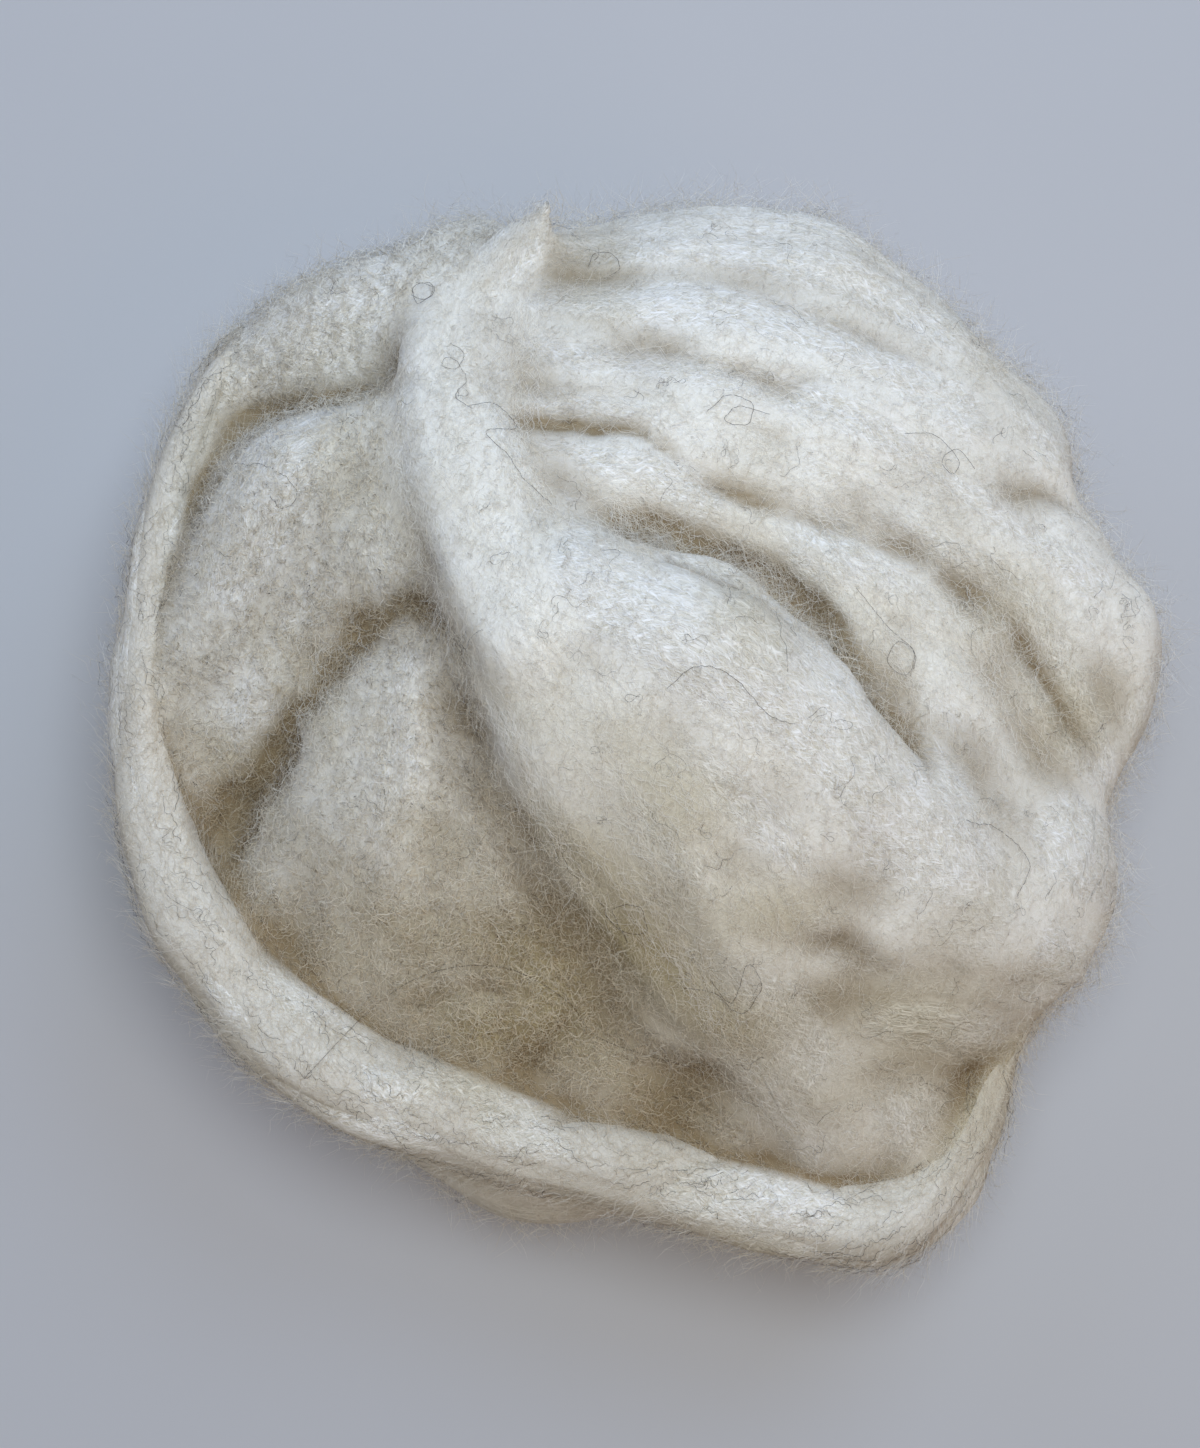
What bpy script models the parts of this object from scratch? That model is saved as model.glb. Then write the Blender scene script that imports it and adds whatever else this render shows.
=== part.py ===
"""Wool roving: a soft ball wound from one thick, untwisted strand of combed wool.

The ball is one solid. It is made of fat turns and folds of the strand, merged where they press
together, and it stands on a small flat spot. The loose end is a second solid: it leaves the ball
at the lower right, goes round its front and left side on the shoulder of the turn below, and
tapers to a wisp.

Sizes are in millimetres, and heights are above the surface that the ball stands on. MM turns
them to Blender's metres. +X is right and +Y is the back.
"""

import math
from collections import namedtuple

import bmesh
import bpy
from mathutils import Vector

MM = 0.001

# Driving dimensions
BOX_CENTRE_SHIFT = (0.7, 0.1)
CORE_CENTRE = (0.0, -1.0, 30.0)
CORE_HALF_SIZE = (51.0, 53.0, 34.0)
SEAT_CLEARANCE = 0.36
SHOULDER_RADIUS = 11.0
SHOULDER_SLOPE_DEG = 58.0
SHOULDER_BITE = 1.5
FLAT_SPOT_CUTTER = (200.0, 200.0, 60.0)

# One row for each turn or fold that shows: its start, middle and end, each given as
# (x, y, height of the crest, half the width).
Fold = namedtuple("Fold", "name start middle end")

FOLDS = (
    Fold("crossing turn, rising", (-17, 55, 25, 9), (-25, 70, 50, 10), (-27, 54, 66, 10)),
    Fold("crossing turn, on top", (-27, 58, 64, 9.5), (-24.5, 38, 76, 9.5), (-13, 10, 86, 9.5)),
    Fold("crossing turn, running out", (-16, 15, 84, 9), (-5, -9, 80, 10), (9, -37, 63, 9)),
    Fold("back right fold", (-12, 64, 53, 13), (20, 64, 57, 15), (52, 41, 53, 14)),
    Fold("long ridge", (-22, 49, 66, 11), (22, 40, 68, 11), (68, 13, 51, 11)),
    Fold("short ridge", (-18, 34, 72, 8), (-1, 33, 73, 8.5), (19, 28, 68, 7.5)),
    Fold("inner ridge", (18, 27, 68, 7), (40, 9, 63, 8), (58, -16, 52, 9)),
    Fold("crown fold", (-9, 16, 86, 11), (13, 6, 88, 15), (45, -21, 68, 14)),
    Fold("crown slope", (-4, 4, 86, 10), (13, -9, 83, 13), (27, -24, 66, 10)),
    Fold("front fold", (-3, 2, 86, 14), (9, -20, 77, 16), (27, -53, 51, 13)),
    Fold("lower right fold", (40, -8, 66, 13), (56, -21, 57, 15), (53, -32, 48, 13)),
    Fold("front knuckle", (27, -42, 57, 9), (32, -50, 56, 12), (35, -59, 46, 10)),
    Fold("right bulge", (67, 14, 51, 11), (67, 6, 48, 11), (63, -5, 44, 9)),
    Fold("back left fold", (-59, 54, 46, 9), (-46, 60, 52, 10), (-28, 63, 57, 11)),
    Fold("left fold", (-37, 41, 66, 13), (-51, 31, 62, 15), (-65, 6, 49, 10)),
    Fold("left fan, outer", (-34, 10, 68, 8), (-43, -5, 60, 10), (-55, -27, 43, 10)),
    Fold("left fan, middle", (-33, 10, 67, 9), (-35, -14, 60, 14), (-37, -44, 39, 12)),
    Fold("left fan, inner", (-29, 7, 67, 8), (-19, -16, 61, 13), (-2, -49, 42, 13)),
    Fold("under fold, front right", (12, -52, 35, 13), (33, -56, 36, 14), (47, -42, 36, 12)),
    Fold("under fold, front left", (-34, -54, 32, 10), (-18, -60, 34, 13), (2, -58, 32, 10)),
)

# One row for each full turn that goes round the ball low down: the middle and the radius of its
# circle, its mean height, how far it tips and towards which side, and half its width.
UnderTurn = namedtuple("UnderTurn", "name x y radius height tip_deg tip_towards_deg half_width")

UNDER_TURNS = (
    UnderTurn("lower turn", 1, -1, 39, 21, 6, 200, 17),
    UnderTurn("middle turn", 0, 2, 47, 26, 13, 335, 14),
    UnderTurn("belly turn", 1, 3, 50, 29, 12, 55, 15),
)

# The loose end's middle line, from inside the fold that it comes out of to its wisp.
RoutePoint = namedtuple("RoutePoint", "x y z radius")

LOOSE_END = (
    RoutePoint(55, -37, 36, 3.6),
    RoutePoint(55, -43, 37, 3.9),
    RoutePoint(54, -50, 37, 4.6),
    RoutePoint(51, -58, 36, 5.4),
    RoutePoint(48, -65, 36, 6.0),
    RoutePoint(43, -71, 36, 6.5),
    RoutePoint(34, -74, 36, 6.8),
    RoutePoint(23, -72.5, 37, 7.0),
    RoutePoint(11, -69.5, 38, 7.0),
    RoutePoint(-4, -65, 39, 7.0),
    RoutePoint(-18, -61.5, 40, 7.0),
    RoutePoint(-27, -58, 41, 7.0),
    RoutePoint(-40, -54, 42, 7.0),
    RoutePoint(-53, -45, 42, 6.8),
    RoutePoint(-64, -33, 42, 6.4),
    RoutePoint(-71, -20, 42, 5.8),
    RoutePoint(-74.5, -8, 42, 5.2),
    RoutePoint(-75, 4, 43, 4.8),
    RoutePoint(-74, 18, 43, 4.4),
    RoutePoint(-72, 32, 44, 3.8),
    RoutePoint(-69.5, 43, 45, 2.9),
    RoutePoint(-66, 53, 46, 2.0),
    RoutePoint(-63, 59, 46, 1.5),
)

# How finely the shapes are made
TUBE_SIDES_RESOLUTION = 4
FOLD_STEPS = 6
UNDER_TURN_POINTS = 24
ROUND_END_ANGLES_DEG = (25, 50, 70, 85)
ROUTE_STEPS = 12
LOOSE_END_STEP = 11.0
CORE_SEGMENTS = 48
CORE_RINGS = 24
WELD_DISTANCE = 0.01
VOXEL = 1.8
SMOOTH_FACTOR = 0.5
SMOOTH_PASSES = 7
TRIANGLE_SHARE = 0.13

WOOL_CREAM = (0.74, 0.71, 0.63, 1.0)
WOOL_LIGHT = (0.80, 0.79, 0.74, 1.0)
WOOL_ROUGHNESS = 0.95


def clear_scene():
    """Remove every object that the file starts with."""
    for old in list(bpy.data.objects):
        bpy.data.objects.remove(old, do_unlink=True)


def make_collection(name):
    """Make a collection in the scene."""
    collection = bpy.data.collections.new(name)
    bpy.context.scene.collection.children.link(collection)
    return collection


def wool_material(name, colour):
    """Make a matt wool material."""
    material = bpy.data.materials.new(name)
    material.use_nodes = True
    shader = material.node_tree.nodes["Principled BSDF"]
    shader.inputs["Base Color"].default_value = colour
    shader.inputs["Roughness"].default_value = WOOL_ROUGHNESS
    shader.inputs["Metallic"].default_value = 0.0
    material.diffuse_color = colour
    return material


def to_metres(x, y, z):
    """Turn a place in millimetres to metres, with the part's box centred over the origin."""
    return Vector((x + BOX_CENTRE_SHIFT[0], y + BOX_CENTRE_SHIFT[1], z)) * MM


def catmull_rom(before, start, end, after, share):
    """Give the row at a share of the way from start to end on a smooth curve."""
    square = share * share
    cube = square * share
    return 0.5 * (
        2 * start
        + (end - before) * share
        + (2 * before - 5 * start + 4 * end - after) * square
        + (3 * start - before - 3 * end + after) * cube
    )


def smooth_rows(rows, steps):
    """Read rows from a smooth curve through the rows given, with some steps between each two."""
    rows = [Vector(row) for row in rows]
    rows = [2 * rows[0] - rows[1]] + rows + [2 * rows[-1] - rows[-2]]
    fine = []
    for index in range(1, len(rows) - 2):
        for step in range(steps):
            fine.append(catmull_rom(*rows[index - 1:index + 3], step / steps))
    fine.append(rows[-2])
    return fine


def even_route(route):
    """Read evenly spaced points, each (x, y, z, radius), from a smooth curve through a route."""
    fine = smooth_rows(route, ROUTE_STEPS)
    lengths = [0.0]
    for one, two in zip(fine, fine[1:]):
        lengths.append(lengths[-1] + (two.xyz - one.xyz).length)
    count = round(lengths[-1] / LOOSE_END_STEP)
    even = []
    for step in range(count + 1):
        wanted = lengths[-1] * step / count
        index = min(range(len(fine)), key=lambda place: abs(lengths[place] - wanted))
        even.append(fine[index])
    return even


def tube_curve(name, places, radii, cyclic=False):
    """Make a round tube, as a curve object, through places in metres with radii in millimetres."""
    curve = bpy.data.curves.new(name, "CURVE")
    curve.dimensions = "3D"
    curve.bevel_depth = MM
    curve.bevel_resolution = TUBE_SIDES_RESOLUTION
    curve.use_fill_caps = not cyclic
    spline = curve.splines.new("POLY")
    spline.points.add(len(places) - 1)
    for point, place, radius in zip(spline.points, places, radii):
        point.co = (*place, 1.0)
        point.radius = radius
    spline.use_cyclic_u = cyclic
    tube = bpy.data.objects.new(name, curve)
    bpy.context.scene.collection.objects.link(tube)
    return tube


def mesh_from_curve(tube):
    """Turn a tube to a mesh with welded caps, and remove the curve."""
    name = tube.name
    depsgraph = bpy.context.evaluated_depsgraph_get()
    mesh = bpy.data.meshes.new_from_object(tube.evaluated_get(depsgraph))
    mesh.name = name
    shape = bmesh.new()
    shape.from_mesh(mesh)
    bmesh.ops.remove_doubles(shape, verts=shape.verts, dist=WELD_DISTANCE * MM)
    shape.to_mesh(mesh)
    shape.free()
    bpy.data.objects.remove(tube, do_unlink=True)
    return mesh


def dome(place, inner, radius):
    """Give the places and radii of rings past a tube's end, so that it ends in a dome."""
    outwards = (place - inner).normalized()
    angles = [math.radians(angle) for angle in ROUND_END_ANGLES_DEG]
    places = [place + outwards * math.sin(angle) * radius * MM for angle in angles]
    return places, [radius * math.cos(angle) for angle in angles]


def fold_mesh(fold):
    """Make one fold: a fat tube with round ends, its crest at the heights given."""
    rows = smooth_rows((fold.start, fold.middle, fold.end), FOLD_STEPS)
    places = [to_metres(x, y, crest - half_width) for x, y, crest, half_width in rows]
    radii = [half_width for x, y, crest, half_width in rows]
    first_places, first_radii = dome(places[0], places[1], radii[0])
    last_places, last_radii = dome(places[-1], places[-2], radii[-1])
    places = first_places[::-1] + places + last_places
    radii = first_radii[::-1] + radii + last_radii
    return mesh_from_curve(tube_curve(fold.name, places, radii))


def under_turn_mesh(turn):
    """Make one full turn round the lower part of the ball, as a tipped ring."""
    places = []
    rise = turn.radius * math.tan(math.radians(turn.tip_deg))
    for step in range(UNDER_TURN_POINTS):
        angle = math.tau * step / UNDER_TURN_POINTS
        x = turn.x + turn.radius * math.cos(angle)
        y = turn.y + turn.radius * math.sin(angle)
        z = turn.height + rise * math.cos(angle - math.radians(turn.tip_towards_deg))
        places.append(to_metres(x, y, z))
    radii = [turn.half_width] * len(places)
    return mesh_from_curve(tube_curve(turn.name, places, radii, cyclic=True))


def shoulder_mesh(route):
    """Make the turn that the loose end lies on: a tube inwards and down from its route."""
    slope = math.radians(SHOULDER_SLOPE_DEG)
    places = []
    for x, y, z, radius in route:
        reach = SHOULDER_RADIUS + radius - SHOULDER_BITE
        plan = Vector((x, y))
        plan -= plan.normalized() * math.cos(slope) * reach
        places.append(to_metres(plan.x, plan.y, z - math.sin(slope) * reach))
    radii = [SHOULDER_RADIUS] * len(places)
    return mesh_from_curve(tube_curve("shoulder", places, radii))


def core_mesh():
    """Make the rounded middle that the turns are wound on."""
    shape = bmesh.new()
    bmesh.ops.create_uvsphere(shape, u_segments=CORE_SEGMENTS, v_segments=CORE_RINGS, radius=MM)
    bmesh.ops.scale(shape, vec=CORE_HALF_SIZE, verts=shape.verts)
    bmesh.ops.translate(shape, vec=to_metres(*CORE_CENTRE), verts=shape.verts)
    mesh = bpy.data.meshes.new("core")
    shape.to_mesh(mesh)
    shape.free()
    return mesh


def joined_mesh(name, meshes):
    """Put several closed meshes into one."""
    shape = bmesh.new()
    for mesh in meshes:
        shape.from_mesh(mesh)
        bpy.data.meshes.remove(mesh)
    whole = bpy.data.meshes.new(name)
    shape.to_mesh(whole)
    shape.free()
    return whole


def loose_end_mesh(name, route, growth):
    """Make the tapered tube of the loose end, fatter and longer at both ends by growth."""
    places = [to_metres(x, y, z) for x, y, z, radius in route]
    places[0] += (places[0] - places[1]).normalized() * growth * MM
    places[-1] += (places[-1] - places[-2]).normalized() * growth * MM
    radii = [radius + growth for x, y, z, radius in route]
    return mesh_from_curve(tube_curve(name, places, radii))


def flat_spot_mesh():
    """Make the block below the surface that cuts the flat spot."""
    shape = bmesh.new()
    bmesh.ops.create_cube(shape, size=MM)
    bmesh.ops.scale(shape, vec=FLAT_SPOT_CUTTER, verts=shape.verts)
    bmesh.ops.translate(shape, vec=(0.0, 0.0, -FLAT_SPOT_CUTTER[2] * MM / 2), verts=shape.verts)
    mesh = bpy.data.meshes.new("flat_spot")
    shape.to_mesh(mesh)
    shape.free()
    return mesh


def add_cut(piece, mesh, cutters):
    """Cut a piece by a mesh, whose object stays with the cutters."""
    cutter = bpy.data.objects.new(mesh.name, mesh)
    cutter.hide_render = True
    cutter.display_type = "WIRE"
    cutters.objects.link(cutter)
    cut = piece.modifiers.new(mesh.name, "BOOLEAN")
    cut.operation = "DIFFERENCE"
    cut.object = cutter


def build_ball(parts, cutters, route):
    """Make the wound ball: merge its turns, soften the creases, and cut its seats."""
    meshes = [core_mesh(), shoulder_mesh(route)]
    meshes += [under_turn_mesh(turn) for turn in UNDER_TURNS]
    meshes += [fold_mesh(fold) for fold in FOLDS]
    ball = bpy.data.objects.new("wound_ball", joined_mesh("wound_ball", meshes))
    ball.data.materials.append(wool_material("wool_cream", WOOL_CREAM))
    parts.objects.link(ball)

    merge = ball.modifiers.new("merge", "REMESH")
    merge.mode = "VOXEL"
    merge.voxel_size = VOXEL * MM
    soften = ball.modifiers.new("soften", "SMOOTH")
    soften.factor = SMOOTH_FACTOR
    soften.iterations = SMOOTH_PASSES
    thin = ball.modifiers.new("thin", "DECIMATE")
    thin.ratio = TRIANGLE_SHARE
    thin.use_collapse_triangulate = True

    add_cut(ball, loose_end_mesh("loose_end_seat", route, SEAT_CLEARANCE), cutters)
    add_cut(ball, flat_spot_mesh(), cutters)


def build_loose_end(parts, route):
    """Make the loose end: a tapered tube, closed at both ends."""
    mesh = loose_end_mesh("loose_end", route, 0.0)
    mesh.materials.clear()
    mesh.materials.append(wool_material("wool_light", WOOL_LIGHT))
    mesh.shade_smooth()
    parts.objects.link(bpy.data.objects.new("loose_end", mesh))


def main():
    """Build the ball of roving and its loose end."""
    clear_scene()
    parts = make_collection("wool_roving")
    cutters = make_collection("cutters")
    route = even_route(LOOSE_END)
    build_ball(parts, cutters, route)
    build_loose_end(parts, route)


main()
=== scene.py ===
"""Visual model of a soft ball wound from one thick strand of combed, undyed wool.

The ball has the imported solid's own form: fat turns and folds of the strand, merged where they
press together, with its loose end lying round the front and the left side. Here the form is made
again in finer steps and combed, so that every place on it knows which way the strand runs there.
Then it gets its coat: fibres that lie along the strand, stray fibres that stand off it, and the
coarse dark hairs that undyed wool keeps.

Tables and sizes are in millimetres, and MM turns them to Blender's metres. +X is right, +Y is the
back, and heights are above the surface that the ball stands on.
"""


from __future__ import annotations

import logging
import math
from dataclasses import dataclass, field, replace
from enum import Enum, IntEnum
from typing import Any, NamedTuple, Sequence

import bmesh
import bpy
import numpy as np
from bpy.types import Material, Mesh, Node, NodeSocket, NodeTree, Object
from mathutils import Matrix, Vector
from mathutils.bvhtree import BVHTree

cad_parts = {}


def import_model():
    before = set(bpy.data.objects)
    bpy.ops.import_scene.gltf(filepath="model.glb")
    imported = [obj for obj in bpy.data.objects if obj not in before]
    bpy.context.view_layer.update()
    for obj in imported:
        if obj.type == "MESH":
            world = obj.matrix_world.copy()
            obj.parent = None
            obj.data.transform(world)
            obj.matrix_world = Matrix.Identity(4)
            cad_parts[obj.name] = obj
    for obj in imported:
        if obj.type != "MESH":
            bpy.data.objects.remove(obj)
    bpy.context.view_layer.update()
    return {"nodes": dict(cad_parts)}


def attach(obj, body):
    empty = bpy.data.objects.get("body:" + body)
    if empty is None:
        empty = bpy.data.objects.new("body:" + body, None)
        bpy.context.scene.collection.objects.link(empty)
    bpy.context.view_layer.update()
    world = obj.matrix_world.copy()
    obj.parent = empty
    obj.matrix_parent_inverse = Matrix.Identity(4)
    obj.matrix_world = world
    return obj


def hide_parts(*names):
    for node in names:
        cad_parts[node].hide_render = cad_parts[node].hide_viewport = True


MM = 0.001
BODY = "root"
BALL_NODE = "wound_ball"
LOOSE_NODE = "loose_end"

LOG = logging.getLogger("wool_roving")

Pair = tuple[float, float]
Triple = tuple[float, float, float]
Row = tuple[float, float, float, float]
Line = tuple[Pair, ...]
Known = dict[str, NodeSocket]


class Seed(IntEnum):
    """The first seed of each thing that is drawn at random."""

    WISPS = 7
    LUMPS = 20
    LOCKS = 31
    LOOSE_LUMPS = 41
    LOOSE_LOCKS = 42
    FIBRES = 50
    PATCHES = 61
    SWIRL = 71
    TINGE = 75
    TROUGH_SWAY_X = 91
    TROUGH_SWAY_Y = 92
    TROUGH_DEPTH = 93
    HAIR_TONE = 95
    HAIR_CRIMP = 180


# --- The wound form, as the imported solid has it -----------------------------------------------

# How far the tables' x and y shift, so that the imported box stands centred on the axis.
BOX_CENTRE_SHIFT = (0.7, 0.1)


class Zone(Enum):
    """A stretch of the wool whose fibres make one piece."""

    CROSSING = "crossing_turn"
    RIDGES = "back_right_ridges"
    CROWN = "crown_folds"
    LEFT = "left_folds"
    UNDER = "under_turns"
    LOOSE = "loose_end"


class Fold(NamedTuple):
    """One fold of the strand, as (x, y, height of the crest, half the width) at three places.

    fan_deg is how far the fibres on it lie off its own line. plies is how many lighter lengths it
    is made of, side by side: a flat band shows three, and a plump fold is one.
    """

    name: str
    fan_deg: float
    plies: int
    start: Row
    middle: Row
    end: Row


FOLDS = {
    Zone.CROSSING: (
        Fold("crossing turn, rising", 16, 3, (-17, 55, 25, 9), (-26, 68, 49, 10), (-27, 55, 64, 9)),
        Fold("crossing turn, on top", 14, 3,
             (-27, 59, 62, 8.7), (-26.6, 38, 75, 8.9), (-15.4, 10, 85.5, 9.4)),
        Fold("crossing turn, running out", 24, 3,
             (-17.9, 15, 84, 9.4), (-6.8, -9, 80, 10.8), (9, -37, 63, 9)),
        Fold("crossing turn, wisp", 14, 1,
             (-23, 57, 62, 5), (-19.5, 68, 60.5, 4.2), (-14, 77.5, 57.5, 1.2)),
    ),
    Zone.RIDGES: (
        Fold("back right fold", 45, 1, (-12, 63, 57, 13), (20, 62, 58.5, 15), (51, 40, 55, 14)),
        Fold("long ridge", 34, 2, (-22, 49, 66, 11), (22, 40, 68, 11), (68, 13, 51, 11)),
        Fold("short ridge", 36, 1, (-18, 34, 72, 8), (-1, 33, 73, 8.5), (19, 28, 68, 7.5)),
        Fold("fill before the long ridge", 36, 1,
             (-18, 42, 69, 6), (-2, 40.5, 70.5, 6.5), (15, 35, 69.3, 6.5)),
        Fold("fill behind the long ridge", 36, 1, (-17, 56, 63, 9), (14, 53.5, 65, 10), (42, 42, 61, 11)),
        Fold("fill right of the long ridge", 36, 1, (38, 42, 60, 10), (51, 34, 56, 10), (61, 25, 50, 9)),
        Fold("fill in the wide valley", 40, 1, (34, 26, 66.5, 9), (50, 14, 61, 11), (61, -4, 52, 10)),
        Fold("right bulge", 50, 1, (67, 14, 51, 11), (67, 6, 48, 11), (63, -5, 44, 9)),
    ),
    Zone.CROWN: (
        Fold("inner ridge", 36, 1, (15, 30, 70, 7.5), (35.5, 13.5, 68.5, 9), (55, -17, 54.5, 9.5)),
        Fold("fill in front of the inner ridge", 36, 1,
             (-12, 28, 75, 8), (13, 22.5, 66.3, 7), (36.5, 0, 63.5, 8)),
        Fold("back of the crown", 44, 1, (-8, 17.5, 80.5, 8.5), (10, 11, 77.5, 6.5), (28, -9.5, 68.5, 7)),
        Fold("fill beside the inner ridge", 40, 1,
             (31, 14, 69.3, 7.5), (40.5, 3.5, 66.8, 9), (51, -13, 58.5, 9.5)),
        Fold("crown fold", 44, 1, (-9, 16, 86, 11), (12, 5, 88, 14), (43, -25, 68, 13)),
        Fold("crown slope", 44, 1, (-4, 4, 86, 10), (13, -9, 83, 13), (27, -24, 66, 10)),
        Fold("front fold", 44, 1, (-3, 2, 86, 14), (9, -20, 77, 16), (27, -53, 51, 13)),
        Fold("lower right fold", 48, 1, (45, -13, 64, 12), (56, -21, 57, 15), (53, -32, 48, 13)),
        Fold("fill at the lower right", 48, 1, (20, -19, 73, 10), (38, -23, 68.5, 12), (56, -31, 56, 12)),
        Fold("fill between the crown and the lower right", 48, 1,
             (12, -24, 76.5, 9), (26, -27, 69.5, 10), (42, -31, 61.5, 10)),
        Fold("front knuckle", 48, 1, (24, -36, 58, 11), (31, -47, 55, 14), (35, -57, 46, 12)),
        Fold("fold between the front and the right", 48, 1,
             (24, -34, 62, 12), (37, -37, 60.5, 13), (47, -39, 52.5, 11)),
    ),
    Zone.LEFT: (
        Fold("back left fold", 44, 1, (-59, 54, 46, 9), (-46, 59.5, 53, 11), (-28, 62, 58, 12)),
        Fold("left fold", 46, 1, (-37, 37, 66, 12), (-51, 31, 62, 14), (-65, 6, 49, 10)),
        Fold("left fold, low", 46, 1, (-61, 16, 53, 11), (-65, 3, 47, 9), (-65, -8, 43, 8)),
        Fold("left fold, inner", 46, 1, (-36, 31, 68, 10), (-45, 16.5, 61.5, 10), (-59, 0, 50, 9)),
        Fold("fill in the left valley", 46, 1, (-35, 18, 66, 8), (-45.5, 6, 56, 9), (-58, -9, 44, 8)),
        Fold("fill beside the crossing turn", 46, 1,
             (-36, 38, 68, 10), (-35, 28, 70, 10), (-32.5, 20, 71, 8.5)),
        Fold("flank of the crossing turn", 30, 1, (-21, 12, 78, 9), (-10.5, -11, 74, 9), (6, -39, 57, 10)),
        Fold("left fan, fill", 38, 1, (-34, 5.5, 67.5, 8.5), (-39, -10, 61.5, 12), (-46, -35.5, 41.5, 12)),
        Fold("left fan, other fill", 38, 1, (-30.5, 4, 68, 8.5), (-27, -15, 63, 14), (-20, -47, 43, 14)),
        Fold("left fan, outer", 38, 1, (-36, 5.5, 66, 8), (-43, -5.5, 60, 10), (-55, -27, 43, 10)),
        Fold("left fan, middle", 38, 1, (-31.5, 4.5, 71, 9), (-33.5, -11, 65, 13), (-37, -43, 40, 12)),
        Fold("left fan, inner", 40, 1, (-28, 3, 70.5, 8), (-18, -16, 66.5, 13), (-2, -49, 46, 13)),
        Fold("fill at the front", 40, 1, (-16, -48, 43, 10), (4, -48.5, 47, 11), (16, -55, 46, 9)),
    ),
    Zone.UNDER: (
        Fold("fill at the front right", 45, 1, (32, -54, 44, 9), (40, -51, 43, 9), (45, -43.5, 44, 9)),
        Fold("under fold, front right", 45, 1, (12, -52, 35, 13), (33, -56, 36, 14), (47, -42, 36, 12)),
        Fold("under fold, front left", 45, 1, (-34, -54, 32, 10), (-18, -60, 34, 13), (2, -58, 32, 10)),
        Fold("under fold, below the loose end", 50, 1,
             (-36, -58, 26, 7), (-17, -68, 30, 9), (6, -66, 27, 7)),
    ),
}


class UnderTurn(NamedTuple):
    """One full turn low round the ball: its circle, its mean height, its tip and half its width."""

    name: str
    fan_deg: float
    x: float
    y: float
    radius: float
    height: float
    tip_deg: float
    tip_towards_deg: float
    half_width: float


UNDER_TURNS = (
    UnderTurn("lower turn", 30, 1, -1, 39, 21, 6, 200, 17),
    UnderTurn("middle turn", 30, 0, 2, 47, 26, 13, 335, 14),
    UnderTurn("belly turn", 30, 1, 3, 50, 29, 12, 55, 15),
)

# How far the wool of each stretch has settled: from 0, as tight as it was wound, to 1.
SOFTNESS = {
    Zone.CROSSING: 0.5,
    Zone.RIDGES: 0.7,
    Zone.CROWN: 1.0,
    Zone.LEFT: 1.0,
    Zone.UNDER: 0.4,
    Zone.LOOSE: 0.15,
}

# How thickly each stretch's own fibres grow, as a share of the cut's density.
THICKNESS = {Zone.CROSSING: 1.0, Zone.RIDGES: 0.6, Zone.CROWN: 0.6, Zone.LEFT: 1.46, Zone.UNDER: 0.4}

# The loose end's middle line, each (x, y, z, radius), from inside its fold to its wisp.
LOOSE_END: tuple[Row, ...] = (
    (56.5, -36, 38, 4.0),
    (55, -42, 39, 4.4),
    (52.5, -48.6, 39, 4.7),
    (49.8, -56, 38.5, 5.2),
    (46.2, -63.5, 37.5, 6.0),
    (41.5, -70, 36.5, 6.6),
    (33.5, -73.6, 36, 6.8),
    (23, -72.5, 37, 7.0),
    (11, -69.5, 38, 7.0),
    (-4, -65, 39, 7.0),
    (-18, -61.5, 40, 7.0),
    (-27, -58, 41, 7.0),
    (-40.2, -54.3, 42, 7.3),
    (-53.3, -45.3, 42, 7.2),
    (-64.4, -33.2, 42, 6.9),
    (-71.4, -20.1, 42, 6.2),
    (-74.5, -8, 42, 5.2),
    (-75, 4, 43, 4.8),
    (-74, 18, 43, 4.4),
    (-72, 32, 44, 3.8),
    (-69, 43, 44, 2.9),
    (-65, 52.5, 43, 2.0),
    (-61, 58, 41, 1.4),
)


class Trough(NamedTuple):
    """A soft line pressed into the folds from above, or a ridge where its depth is below zero."""

    name: str
    depth: float
    width: float
    line: Line


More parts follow.
